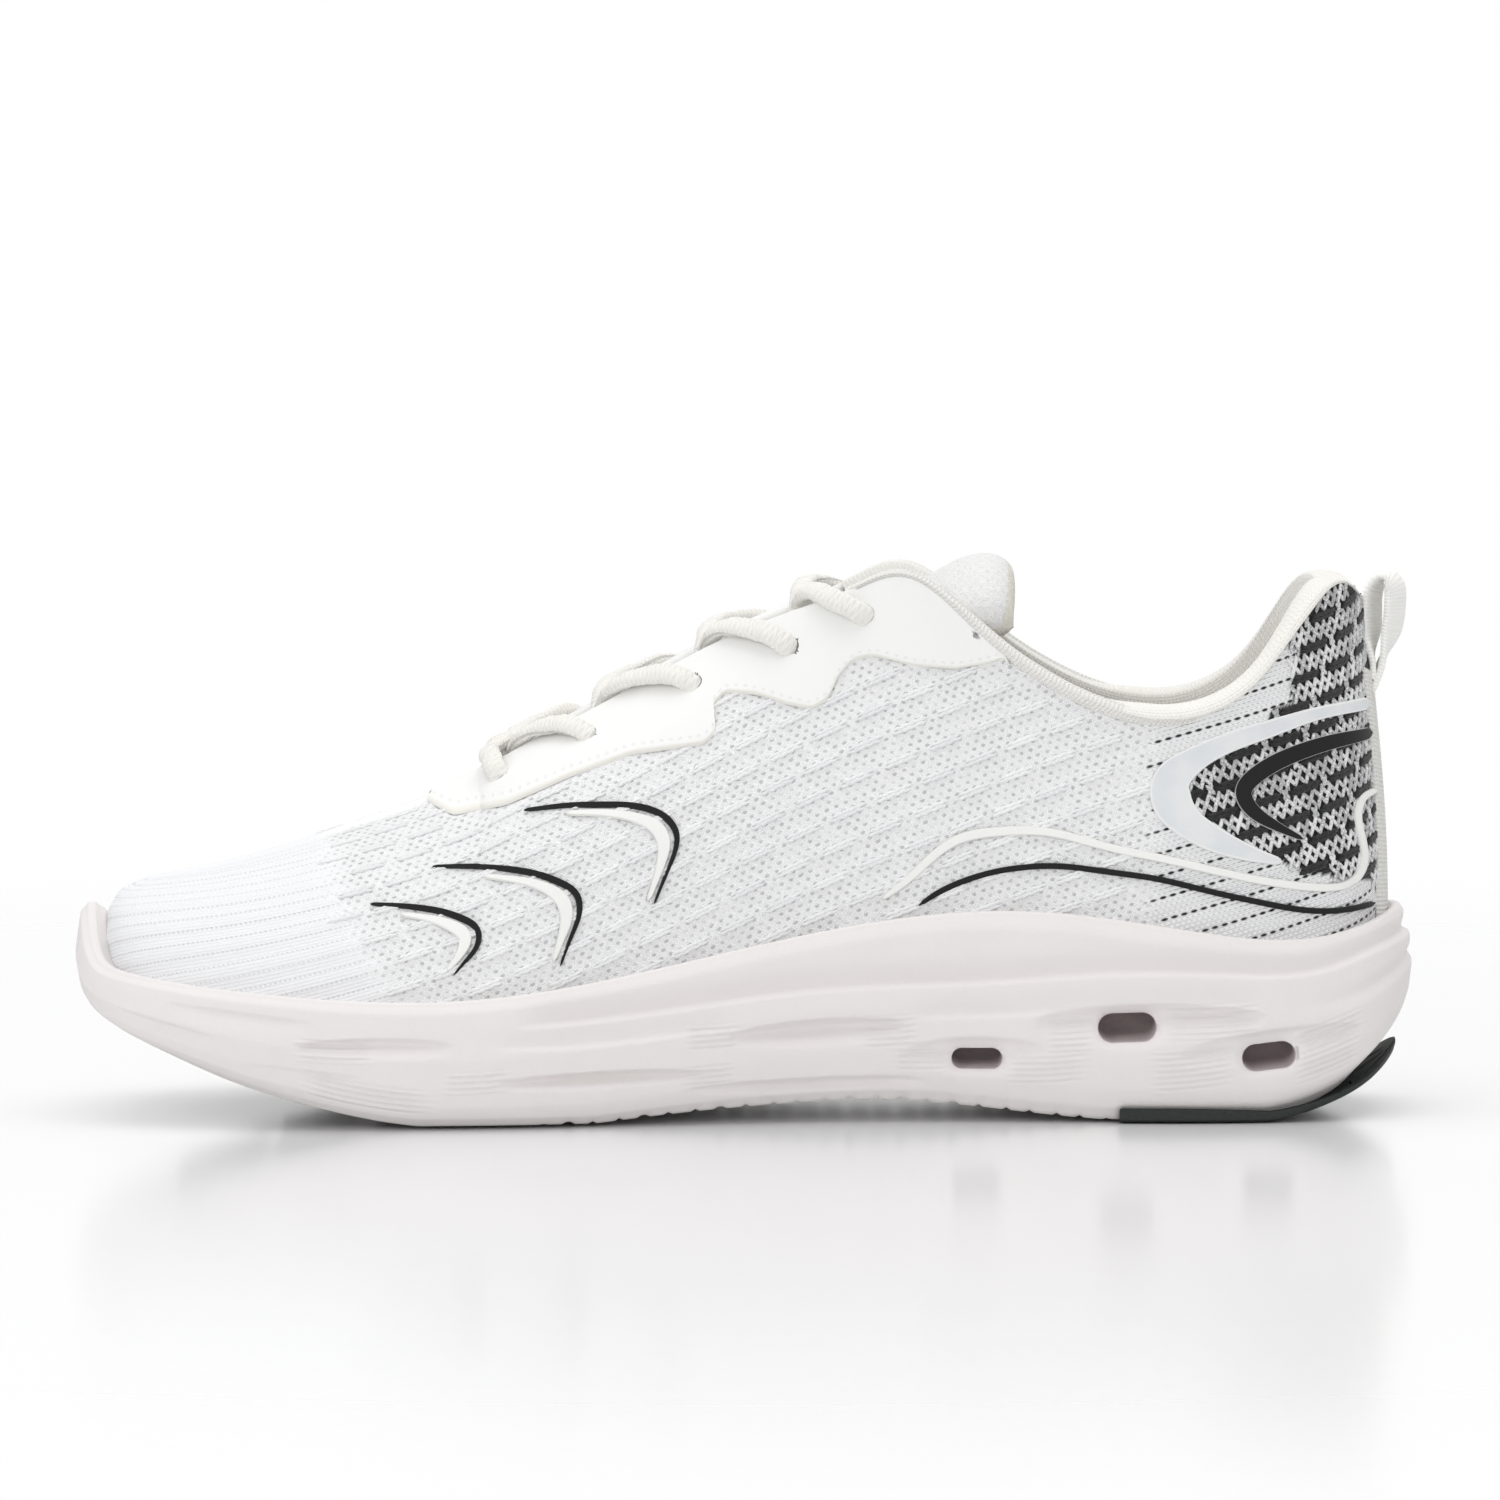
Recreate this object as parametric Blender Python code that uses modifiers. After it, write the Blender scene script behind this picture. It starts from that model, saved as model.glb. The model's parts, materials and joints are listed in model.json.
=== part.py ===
"""A running shoe for the right foot: knit upper, film overlays, laces, tongue and rubber-shod foam sole.

Frame: +Z up, the toe points along -X and the inner (medial) side faces -Y. The origin is on the ground,
in the middle of the shoe's length and width. Shapes are written in millimetres and turned into metres as
they are built.

Most surfaces are lofted round the foot. A place on them is (t, v, side): t runs from 0 at the toe tip to
1 at the back of the heel, v from 0 at the feather line, where the upper meets the sole, to 1 at the top
line, and side is -1 on the medial wall and +1 on the lateral wall.
"""

import math

import bmesh
import bpy
import numpy as np
from mathutils import Vector

MM = 0.001
MEDIAL, LATERAL = -1, 1
SIDES = {"medial": MEDIAL, "lateral": LATERAL}

# Driving dimensions.
LENGTH = 300.0
STATIONS = 30  # stations along one side of the foot
GAP = 0.35  # clearance between pieces that rest on each other
KNIT = 1.5  # thickness of the knit
CUTTER_REACH = 120.0  # cutters run this far to either side
LAYER_GAP = 0.45  # clearance between layers of the upper
FILM, FILM_GAP = 0.6, 0.6

# Sole.
RIM_INSET, RIM_WIDTH = 2.6, 2.3
CUP_INSET = RIM_INSET + RIM_WIDTH + 0.3
TOE_LIP_RISE, TOE_LIP_SPREAD = 12.0, 0.045
PAD_THICKNESS = 2.6
FOAM_LIFT = 0.5  # the rubber stands this much below the foam
STROBEL, INSOLE, INSOLE_CLOTH = 1.5, 4.0, 0.8
UPPER_INSET = CUP_INSET + 1.9  # leaves room for the overlays inside the rim
INSOLE_INSET = UPPER_INSET + KNIT + 2.6  # leaves room for the linings

# Forefoot flex: the shoe bends at the toe joints.
FLEX_X, FLEX_Z, FLEX_ANGLE = -85.0, 24.0, math.radians(22)

# Throat, tongue and laces.
THROAT_T, THROAT_ROUND = 0.372, 0.035
LACE_RADIUS, EYELET_RADIUS = 1.6, 2.5
LACE_OVER, LACE_UNDER = 3.3, -3.6  # heights of the lace above and below the face of the upper
TONGUE_DEPTH = 6.4
# Layers of the tongue and of its thicker tab: name, depth and thickness.
TONGUE_LAYERS = (("face", 0.0, 1.2), ("padding", 1.5, 4.2), ("lining", 6.0, 0.8))
TAB_LAYERS = (("face", 0.0, 1.2), ("padding", 1.5, 6.6), ("lining", 8.4, 0.8))

# Pull loop and heel tape.
TAPE_HALF_WIDTH, TAPE_THICKNESS, TAPE_TOP = 7.5, 1.2, 97.0
LOOP_HALF_WIDTH, STRAP = 5.5, 1.6


class Curve:
    """A natural cubic spline through (position, value) points."""

    def __init__(self, *points):
        self.x, self.y = np.array(points, float).T
        count, step = len(self.x), np.diff(self.x)
        system, right = np.eye(count), np.zeros(count)
        for i in range(1, count - 1):
            system[i, i - 1 : i + 2] = step[i - 1], 2 * (step[i - 1] + step[i]), step[i]
            right[i] = 6 * (
                (self.y[i + 1] - self.y[i]) / step[i]
                - (self.y[i] - self.y[i - 1]) / step[i - 1]
            )
        self.bend = np.linalg.solve(system, right)

    def __call__(self, at):
        at = np.asarray(at, float)
        i = np.clip(np.searchsorted(self.x, at) - 1, 0, len(self.x) - 2)
        step = self.x[i + 1] - self.x[i]
        a, b = (self.x[i + 1] - at) / step, (at - self.x[i]) / step
        cubic = (a**3 - a) * self.bend[i] + (b**3 - b) * self.bend[i + 1]
        return a * self.y[i] + b * self.y[i + 1] + cubic * step**2 / 6


# Plan view of the sole: half width along t, and the centre line along x.
HALF_WIDTH = Curve(
    (0, 0), (0.1, 27), (0.2, 43.5), (0.3, 52.5), (0.4, 54), (0.5, 47), (0.6, 42), (0.7, 41.5), (0.8, 37.5),
    (0.9, 24.5), (1, 0),
)
CENTRE = Curve(
    (-150, -11.5), (-121, -7), (-88, -2.7), (-46, 1.5), (0, 4.8), (46, 3.3), (88, 0.3), (121, -1.2),
    (150, -2.7),
)

# Side view of the sole, along x: the ground side, the footbed and the rim on either side.
SOLE_BOTTOM = Curve(
    (-150, 24), (-144, 20.5), (-131, 15.5), (-116, 10), (-93, 3.6), (-78, 0.7), (-66, -0.5), (-38, -0.5),
    (-20, 1.2), (12, 3.6), (30, 4.1), (48, 3), (72, 0.5), (86, -0.4), (113, -0.5), (124, 1.6), (132, 4.4),
    (140, 8.6), (146, 14), (150, 19),
)
FOOTBED = Curve(
    (-150, 30), (-133, 25.5), (-100, 20.5), (-70, 19), (-30, 22), (10, 27), (50, 29.5), (150, 29.5)
)
RIM_MEDIAL = Curve(
    (-150, 34.5), (-134, 32.3), (-100, 28.8), (-60, 28.1), (-24, 33.2), (12, 40.9), (48, 46.2), (62, 46.5),
    (98, 42.4), (125, 40.2), (137, 41.9), (147, 44.6),
)
RIM_LATERAL = Curve(
    (-150, 34.5), (-134, 32.3), (-100, 28.8), (-60, 28), (-24, 31), (12, 35.5), (48, 39.5), (75, 41),
    (98, 40.5), (125, 40.2), (137, 41.9), (147, 44.6),
)
# Side wall of the sole from the ground edge to the rim: (share of the height, inset from the outline).
WALL_PROFILE = ((0, 6.5), (0.1, 3.4), (0.3, 0.7), (0.55, 0), (0.8, 0.9), (1, RIM_INSET))

# Top line of the upper: its station along x, its height, and half the width of the opening.
TOP_X = Curve(
    (-0.15, -119), (0, -131), (0.15, -119), (0.3, -86), (0.4, -48), (0.5, -3), (0.6, 43), (0.7, 86),
    (0.8, 117.5), (0.9, 133), (1, 138.3), (1.1, 133),
)
TOP_Z = Curve(
    (-131, 52.6), (-118, 55), (-100, 60), (-86, 64.7), (-71, 70), (-60, 75), (-48, 82), (-36, 88.3),
    (-13, 101), (7, 110.6), (24, 118), (34, 122), (40, 120.3), (48, 114), (58, 105), (68, 98.3), (82, 92),
    (95, 90.3), (106, 92.8), (115, 99.5), (123, 110), (130, 117.4), (135.5, 117), (138.3, 114),
)
TOP_CENTRE = Curve((-131, -9), (-100, -5), (-60, -1), (0, 2.5), (60, 1.5), (138.3, -2.7))
TOP_HALF = Curve(
    (0.36, 9.5), (0.42, 10.5), (0.5, 12.5), (0.56, 17), (0.6, 22), (0.66, 27), (0.72, 28.5), (0.8, 25.5),
    (0.88, 17), (0.94, 9), (1, 0),
)
# How the wall of the upper bends between the feather line and the top line: first a bulge, then a shoulder.
BULGE = 1.0
RIDGE_FADE = (-70, -40)
LOW_RISE = Curve((0, 0.75), (0.2, 0.62), (0.35, 0.5), (0.7, 0.5), (1, 0.5))
SHOULDER_OUT = Curve(
    (0, 0.9), (0.1, 0.8), (0.2, 0.66), (0.35, 0.6), (0.5, 0.62), (0.6, 0.3), (0.7, 0.12), (1, 0.2)
)
SHOULDER_DOWN = Curve((0, 0), (0.3, 0), (0.37, 0.05), (0.5, 0.2), (0.6, 0.34), (0.7, 0.36), (1, 0.3))


def outline(t, side):
    x = -LENGTH / 2 * np.cos(np.pi * t)
    return np.stack([x, CENTRE(x) + side * HALF_WIDTH(t)], -1)


def outward(t, side):
    """Unit normal of the plan outline."""
    step = 1e-4
    along = outline(t + step, side) - outline(t - step, side)
    along /= np.linalg.norm(along, axis=-1, keepdims=True)
    return np.stack([-side * along[..., 1], side * along[..., 0]], -1)


def rim_height(x, t, side):
    lip = TOE_LIP_RISE * np.exp(-((t / TOE_LIP_SPREAD) ** 2))
    return np.where(np.asarray(side) < 0, RIM_MEDIAL(x), RIM_LATERAL(x)) + lip


def smooth_step(value, start, end):
    share = np.clip((value - start) / (end - start), 0, 1)
    return share * share * (3 - 2 * share)


def wall(t, v, side):
    """A point of the upper's outer surface: a Bezier curve from the feather line to the top line."""
    t, v = np.broadcast_arrays(np.asarray(t, float), np.asarray(v, float))
    side = np.broadcast_to(side, t.shape)[..., None]
    out = outward(t, side[..., 0])
    foot = outline(t, side[..., 0]) - UPPER_INSET * out
    foot = np.concatenate([foot, (FOOTBED(foot[..., 0]) + STROBEL + 2 * GAP)[..., None]], -1)
    x = TOP_X(t)
    opening = np.clip((t - THROAT_T) / THROAT_ROUND, 0, 1)
    half = np.where(t > THROAT_T, TOP_HALF(t) * np.sqrt(opening * (2 - opening)), 0)
    top = np.stack([x, TOP_CENTRE(x) + side[..., 0] * half, TOP_Z(x)], -1)
    height = top[..., 2:] - foot[..., 2:]
    reach = np.linalg.norm(top[..., :2] - foot[..., :2], axis=-1, keepdims=True)
    # Over the toes the shoulder follows the slope of the ridge; from the throat back it runs level.
    ridge_slope = (TOP_Z(x + 1) - TOP_Z(x - 1)) / 2 * (1 - smooth_step(x, *RIDGE_FADE))
    sideways = np.concatenate([out, (ridge_slope * out[..., 0])[..., None]], -1)
    up = np.array([0, 0, 1.0])
    flat_out = np.concatenate([out, np.zeros_like(out[..., :1])], -1)
    low = foot + BULGE * flat_out + LOW_RISE(t)[..., None] * height * up
    high = top + SHOULDER_OUT(t)[..., None] * reach * sideways
    high -= SHOULDER_DOWN(t)[..., None] * height * up
    v = v[..., None]
    return (1 - v) ** 3 * foot + 3 * (1 - v) ** 2 * v * low + 3 * (1 - v) * v**2 * high + v**3 * top


def wall_normal(t, v, side):
    step = 1e-3
    t, v = np.broadcast_arrays(np.asarray(t, float), np.asarray(v, float))
    along = wall(t + step, v, side) - wall(t - step, v, side)
    v0, v1 = np.clip(v - step, 0, 1), np.clip(v + step, 0, 1)
    upward = wall(t, v1, side) - wall(t, v0, side)
    normal = np.cross(along, upward) * -np.broadcast_to(side, t.shape)[..., None]
    return normal / np.linalg.norm(normal, axis=-1, keepdims=True)


def on_wall(t, v, side, offset=0.0):
    """A point on a surface parallel to the upper, offset outward from it."""
    return wall(t, v, side) + np.asarray(offset)[..., None] * wall_normal(t, v, side)


SEARCH_STEPS, SEARCH_SHARE = 25, 0.7  # how often the search below moves, and by how much of the way


def find_on_wall(x, z, side):
    """(t, v) of the places on one wall that lie at these x and z, seen square on from the side."""
    x, z = np.asarray(x, float), np.asarray(z, float)
    t = np.arccos(np.clip(-x / (LENGTH / 2 - UPPER_INSET), -0.999, 0.999)) / np.pi
    v = np.clip((z - FOOTBED(x)) / (TOP_Z(x) - FOOTBED(x)), 0.02, 0.95)
    step = 1e-4
    for _ in range(SEARCH_STEPS):
        here = wall(t, v, side)[..., [0, 2]]
        by_t = (wall(t + step, v, side)[..., [0, 2]] - here) / step
        by_v = (wall(t, v + step, side)[..., [0, 2]] - here) / step
        miss = np.stack([x, z], -1) - here
        turn = by_t[..., 0] * by_v[..., 1] - by_t[..., 1] * by_v[..., 0]
        move_t = (miss[..., 0] * by_v[..., 1] - miss[..., 1] * by_v[..., 0]) / turn
        move_v = (by_t[..., 0] * miss[..., 1] - by_t[..., 1] * miss[..., 0]) / turn
        t = np.clip(t + SEARCH_SHARE * move_t, 0.01, 0.999)
        v = np.clip(v + SEARCH_SHARE * move_v, 0.0, 1.0)
    return t, v


# Blender helpers.
def clear_scene():
    for item in list(bpy.data.objects):
        bpy.data.objects.remove(item)


def make_collection(name):
    found = bpy.data.collections.new(name)
    bpy.context.scene.collection.children.link(found)
    return found


clear_scene()
SHOE = make_collection("running_shoe")
CUTTERS = make_collection("cutters")


def material(name, colour, roughness, metallic=0.0):
    made = bpy.data.materials.new(name)
    made.use_nodes = True
    shader = made.node_tree.nodes["Principled BSDF"]
    shader.inputs["Base Color"].default_value = (*colour, 1)
    shader.inputs["Roughness"].default_value = roughness
    shader.inputs["Metallic"].default_value = metallic
    return made


WHITE_KNIT = material("white_knit", (0.86, 0.87, 0.88), 0.9)
HEEL_KNIT = material("cream_lining", (0.84, 0.81, 0.74), 0.9)
CREAM_FILM = material("cream_film", (0.86, 0.86, 0.83), 0.45)
BLACK_FILM = material("black_film", (0.03, 0.03, 0.03), 0.5)
CLEAR_FILM = material("pearl_film", (0.78, 0.81, 0.83), 0.35)
LACE_CORD = material("lace_cord", (0.86, 0.84, 0.79), 0.85)
AGLET_PLASTIC = material("aglet_plastic", (0.85, 0.85, 0.83), 0.3)
WEBBING = material("cream_webbing", (0.84, 0.83, 0.79), 0.8)
FOAM = material("white_foam", (0.84, 0.81, 0.81), 0.6)
RUBBER = material("black_rubber", (0.03, 0.035, 0.035), 0.7)
BOARD = material("strobel_board", (0.75, 0.74, 0.7), 0.9)
PADDING = material("padding_foam", (0.8, 0.78, 0.6), 0.95)
STIFFENER = material("stiffener", (0.8, 0.8, 0.78), 0.5)
INSOLE_FOAM = material("insole_foam", (0.7, 0.72, 0.74), 0.85)
INSOLE_TOP = material("insole_cloth", (0.82, 0.82, 0.8), 0.9)


def object_from(name, mesh_edit, finish, collection=SHOE):
    mesh = bpy.data.meshes.new(name)
    bmesh.ops.recalc_face_normals(mesh_edit, faces=mesh_edit.faces)
    mesh_edit.to_mesh(mesh)
    mesh_edit.free()
    made = bpy.data.objects.new(name, mesh)
    collection.objects.link(made)
    if finish:
        mesh.materials.append(finish)
    mesh.shade_smooth()
    mesh.set_sharp_from_angle(angle=math.radians(40))
    return made


def add_grid(mesh_edit, points, closed=False):
    """Adds quads between rows of points. A closed grid joins its last column to its first."""
    rows = [[mesh_edit.verts.new(p * MM) for p in row] for row in points]
    count = len(rows[0])
    for low, high in zip(rows, rows[1:]):
        for i in range(count if closed else count - 1):
            j = (i + 1) % count
            mesh_edit.faces.new((low[i], low[j], high[j], high[i]))
    return rows


def weld(mesh_edit, distance=0.02):
    bmesh.ops.remove_doubles(mesh_edit, verts=mesh_edit.verts, dist=distance * MM)
    loose = [face for face in mesh_edit.faces if face.calc_area() < 1e-12]
    bmesh.ops.delete(mesh_edit, geom=loose, context="FACES")


def sheet(name, points, thickness, finish, closed=False, facing=None):
    """An open surface through a grid of points, thickened away from the side that `facing` points to."""
    mesh_edit = bmesh.new()
    add_grid(mesh_edit, points, closed)
    weld(mesh_edit)
    bmesh.ops.recalc_face_normals(mesh_edit, faces=mesh_edit.faces)
    if facing is not None:
        agreement = 0
        for face in mesh_edit.faces:
            agreement += face.normal.dot(facing(face.calc_center_median() / MM))
        if agreement < 0:
            bmesh.ops.reverse_faces(mesh_edit, faces=mesh_edit.faces)
    mesh = bpy.data.meshes.new(name)
    mesh_edit.to_mesh(mesh)
    mesh_edit.free()
    made = bpy.data.objects.new(name, mesh)
    SHOE.objects.link(made)
    mesh.materials.append(finish)
    mesh.shade_smooth()
    solidify = made.modifiers.new("thickness", "SOLIDIFY")
    solidify.thickness = thickness * MM
    solidify.offset = -1
    return made


def away_from_foot(point):
    """Direction from the middle of the foot to a point, for telling outside from inside."""
    from_middle = point.copy()
    from_middle.x *= 0.3
    from_middle.z -= 45
    return from_middle.normalized()


def ring_solid(name, rings, finish, collection=SHOE):
    """A closed solid through rings of the foot's outline, each capped by strips across the shoe."""
    mesh_edit = bmesh.new()
    rows = add_grid(mesh_edit, rings, closed=True)
    count = len(rows[0])
    for row in (rows[0], rows[-1]):
        for i in range(count // 2):
            opposite = (row[(count - i - 1) % count], row[(count - i) % count])
            corners = dict.fromkeys((row[i], row[i + 1], *opposite))
            if len(corners) > 2:
                mesh_edit.faces.new(tuple(corners))
    return object_from(name, mesh_edit, finish, collection)


def loop_stations(stations=STATIONS):
    """(t, side) all the way round the shoe: back along the medial side, forward along the lateral side."""
    t = np.arange(2 * stations) / stations
    side = np.where(t <= 1, MEDIAL, LATERAL)
    return np.where(t <= 1, t, 2 - t), side


def ring(inset, height, t, side):
    """The plan outline moved in by an inset, at height(x, t, side)."""
    flat = outline(t, side) - np.asarray(inset)[..., None] * outward(t, side)
    return np.column_stack([flat, height(flat[:, 0], t, side)])


def prism(name, corners, y0, y1, finish, collection=SHOE):
    """A solid with an outline of (x, z) corners, run across the shoe between two values of y."""
    mesh_edit = bmesh.new()
    ends = []
    for y in (y0, y1):
        ends.append([mesh_edit.verts.new((x * MM, y * MM, z * MM)) for x, z in corners])
    count = len(corners)
    for i in range(count):
        j = (i + 1) % count
        mesh_edit.faces.new((ends[0][i], ends[0][j], ends[1][j], ends[1][i]))
    mesh_edit.faces.new(ends[0])
    mesh_edit.faces.new(ends[1])
    return object_from(name, mesh_edit, finish, collection)


def cutter_prism(name, corners):
    """A cutter with an outline of (x, z) corners that reaches past both sides of the shoe."""
    cutter = prism(name, corners, -CUTTER_REACH, CUTTER_REACH, None, CUTTERS)
    cutter.hide_render = True
    cutter.display_type = "WIRE"
    return cutter


def boolean(target, cutter, operation="DIFFERENCE"):
    cutter.hide_render = True
    cutter.display_type = "WIRE"
    modifier = target.modifiers.new(cutter.name, "BOOLEAN")
    modifier.operation = operation
    modifier.solver = "EXACT"
    modifier.object = cutter


def copy_of(source, name, collection=SHOE):
    made = source.copy()
    made.data = source.data.copy()
    made.name = name
    collection.objects.link(made)
    return made


# The planes at which the shoe flexes. Behind the hinge everything belongs to the rear; in front of it, the
# part above the hinge leans back through the flex angle, and a fold of the vamp fills the wedge between.
FAR, BELOW = 260.0, -50.0
WEDGE_TOP = FLEX_X - (FAR - FLEX_Z) * math.tan(FLEX_ANGLE)
REAR_SPACE = cutter_prism("rear_space", ((FLEX_X, BELOW), (FAR, BELOW), (FAR, FAR), (FLEX_X, FAR)))
FRONT_SPACE = cutter_prism(
    "front_space",
    ((-FAR, BELOW), (FLEX_X - GAP, BELOW), (FLEX_X - GAP, FLEX_Z), (WEDGE_TOP - GAP, FAR), (-FAR, FAR)),
)
FOLD_SPACE = cutter_prism(
    "fold_space", ((FLEX_X - GAP, FLEX_Z + 2.5 * GAP), (FLEX_X - GAP, FAR), (WEDGE_TOP + GAP, FAR))
)


def slice_of_shoe(name, start, end):
    """A cutter for everything between two places along the shoe."""
    return cutter_prism(name, ((start, BELOW), (end, BELOW), (end, FAR), (start, FAR)))


def split_at_flex(whole, rear_name, front_name):
    """Turns one piece into the half behind the flex line and the half in front of it."""
    front = copy_of(whole, front_name)
    boolean(whole, REAR_SPACE, "INTERSECT")
    boolean(front, FRONT_SPACE, "INTERSECT")
    whole.name = rear_name
    return whole, front


# Sole.
def ground_side(x, t=None, side=None):
    return np.maximum(SOLE_BOTTOM(x), 0)


def foam_bottom(x, t, side):
    return ground_side(x) + FOAM_LIFT


def sole_slab(name, inset, low, high, finish, collection=SHOE):
    """A layer of the sole with the outline's shape, between two heights."""
    t, side = loop_stations()
    return ring_solid(name, [ring(inset, low, t, side), ring(inset, high, t, side)], finish, collection)


def window_cutter(name, x, z, length, height, tilt, side):
    """A slot with round ends, sunk into the side wall of the sole."""
    corners = []
    radius, straight, turn = height / 2, length / 2 - height / 2, math.radians(tilt)
    for centre, start in ((straight, -90), (-straight, 90)):
        for angle in np.radians(np.linspace(start, start + 180, 6)):
            along, up = centre + radius * math.cos(angle), radius * math.sin(angle)
            corner_x = x + along * math.cos(turn) - up * math.sin(turn)
            corner_z = z + along * math.sin(turn) + up * math.cos(turn)
            corners.append((corner_x, corner_z))
    wall_y = CENTRE(x) + side * HALF_WIDTH(math.acos(-2 * x / LENGTH) / math.pi)
    return prism(name, corners, wall_y - side * WINDOW_DEPTH, wall_y + side * CUTTER_OUT, None, CUTTERS)


WINDOW_DEPTH, CUTTER_OUT = 24.0, 8.0  # reach of a window's cutter inside and outside the outline
# Windows in the side of the heel: x, z, length, height and tilt.
WINDOWS = ((51.5, 14.2, 11.3, 4.6, 0), (84.8, 21.3, 13, 6.4, 2), (116.3, 14.8, 12, 6, 6))
# Rubber pads: name, where each starts and ends along x, and the share of the width it covers.
HEEL_PAD_START = 83.0
FOREFOOT_PADS = (
    ("toe_outsole", -127, -108), ("ball_outsole_front", -105, -88), ("ball_outsole_rear", -82, -36)
)
FOREFOOT_PAD_INSET, HEEL_PAD_INSET = 13.0, 4.4
HEEL_PAD_END = 160.0
POCKET_REACH = 5.0  # a pocket's cutter goes this far below the foam, and at the heel past its edge


def add_pad(name, start, end, inset, pocket_inset, foam):
    """A rubber pad under the sole, and the pocket that the foam leaves for it."""
    pad = sole_slab(name, inset, ground_side, lambda x, t, s: ground_side(x) + PAD_THICKNESS, RUBBER)
    boolean(pad, slice_of_shoe(name + "_space", start, end), "INTERSECT")
    pocket = sole_slab(
        name + "_pocket",
        pocket_inset,
        lambda x, t, s: ground_side(x) - POCKET_REACH,
        lambda x, t, s: ground_side(x) + PAD_THICKNESS + GAP,
        None,
        CUTTERS,
    )
    boolean(pocket, slice_of_shoe(name + "_pocket_space", start - GAP, end + GAP), "INTERSECT")
    boolean(foam, pocket)


def add_sole():
    t, side = loop_stations()
    rings = []
    for share, inset in WALL_PROFILE:

        def height(x, t, side, share=share):
            low = foam_bottom(x, t, side)
            return low + share * (rim_height(x, t, side) - low)

        rings.append(ring(inset, height, t, side))
    rings.append(ring(RIM_INSET + RIM_WIDTH, rim_height, t, side))
    rings.append(ring(CUP_INSET, lambda x, t, side: FOOTBED(x), t, side))
    midsole = ring_solid("midsole", rings, FOAM)
    for number, (x, z, length, height, tilt) in enumerate(WINDOWS, 1):
        for word, direction in SIDES.items():
            boolean(midsole, window_cutter(f"window_{word}_{number}", x, z, length, height, tilt, direction))
    rear, front = split_at_flex(midsole, "midsole_rear", "midsole_forefoot")
    add_pad("heel_outsole", HEEL_PAD_START, HEEL_PAD_END, HEEL_PAD_INSET, HEEL_PAD_INSET - POCKET_REACH, rear)
    for name, start, end in FOREFOOT_PADS:
        foam = front if end < FLEX_X else rear
        add_pad(name, start, end, FOREFOOT_PAD_INSET, FOREFOOT_PAD_INSET - GAP, foam)


def add_inner_sole():
    """Strobel board, sockliner foam and its cloth, in a stack on the footbed."""
    layers = (
        ("strobel_board", UPPER_INSET, GAP, STROBEL, BOARD),
        ("insole_foam", INSOLE_INSET, STROBEL + 2 * GAP, INSOLE, INSOLE_FOAM),
        ("insole_cloth", INSOLE_INSET, STROBEL + INSOLE + 3 * GAP, INSOLE_CLOTH, INSOLE_TOP),
    )
    for name, inset, start, thickness, finish in layers:
        slab = sole_slab(
            name,
            inset,
            lambda x, t, s, start=start: FOOTBED(x) + start,
            lambda x, t, s, start=start, thickness=thickness: FOOTBED(x) + start + thickness,
            finish,
        )
        split_at_flex(slab, name + "_rear", name + "_forefoot")


# Upper.
EYELETS = ((-54.5, 75.4), (-35, 84.6), (-11.5, 96), (10, 104.3), (27, 111.6))  # x, z of each laced row
SPARE_EYELET, SPARE_RADIUS = (51.5, 107.4), 1.1
PUNCH = 9.0  # length of an eyelet's cutter


def eyelet_cutters(side, word, eyelets, radius):
    """Short cylinders square to the wall, one through each eyelet."""
    cutters = []
    for number, (x, z) in enumerate(eyelets, 1):
        t, v = find_on_wall(x, z, side)
        mesh_edit = bmesh.new()
        size = radius * MM
        bmesh.ops.create_cone(
            mesh_edit, cap_ends=True, segments=10, radius1=size, radius2=size, depth=PUNCH * MM
        )
        cutter = object_from(f"eyelet_{word}_{radius}_{number}", mesh_edit, None, CUTTERS)
        cutter.rotation_mode = "QUATERNION"
        cutter.rotation_quaternion = Vector(wall_normal(t, v, side)).to_track_quat("Z", "Y")
        cutter.location = Vector(wall(t, v, side)) * MM
        cutters.append(cutter)
    return cutters


def punch_eyelets(piece, word):
    for cutter in EYELET_CUTTERS[word]:
        boolean(piece, cutter)


UPPER_STATIONS, UPPER_ROWS = 36, 11


def add_upper():
    """The knit upper: one sock in the real shoe, cut into toe, fold and quarters where the shoe flexes."""
    t, side = loop_stations(UPPER_STATIONS)
    rows = [wall(t, np.full_like(t, v), side) for v in np.linspace(0, 1, UPPER_ROWS)]
    quarters = sheet("knit_quarters", rows, KNIT, WHITE_KNIT, closed=True, facing=away_from_foot)
    toe = copy_of(quarters, "knit_toe")
    fold = copy_of(quarters, "knit_vamp_fold")
    for word in SIDES:
        punch_eyelets(quarters, word)
    boolean(quarters, REAR_SPACE, "INTERSECT")
    boolean(toe, FRONT_SPACE, "INTERSECT")
    boolean(fold, FOLD_SPACE, "INTERSECT")


def round_the_end(start, end, count):
    """(t, side) columns from a medial station, round the heel or the toe, to the lateral one opposite."""
    t = np.linspace(start, end, count)
    return np.r_[t, t[-2::-1]], np.r_[np.full(count, MEDIAL), np.full(count - 1, LATERAL)]


def wall_rows(t, side, heights, offset):
    return [on_wall(t, np.full_like(t, v), side, np.full_like(t, 1.0) * offset) for v in heights]


def slab_between(name, outer, inner, finish):
    """A closed body between two grids of points of the same size."""
    mesh_edit = bmesh.new()
    outside, inside = add_grid(mesh_edit, outer), add_grid(mesh_edit, inner)
    edges = []
    for grid in (outside, inside):
        border = list(grid[0]) + [row[-1] for row in grid[1:]]
        border += grid[-1][-2::-1] + [row[0] for row in grid[-2:0:-1]]
        edges.append(border)
    count = len(edges[0])
    for i in range(count):
        j = (i + 1) % count
        mesh_edit.faces.new((edges[0][i], edges[0][j], edges[1][j], edges[1][i]))
    return object_from(name, mesh_edit, finish)


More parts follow.
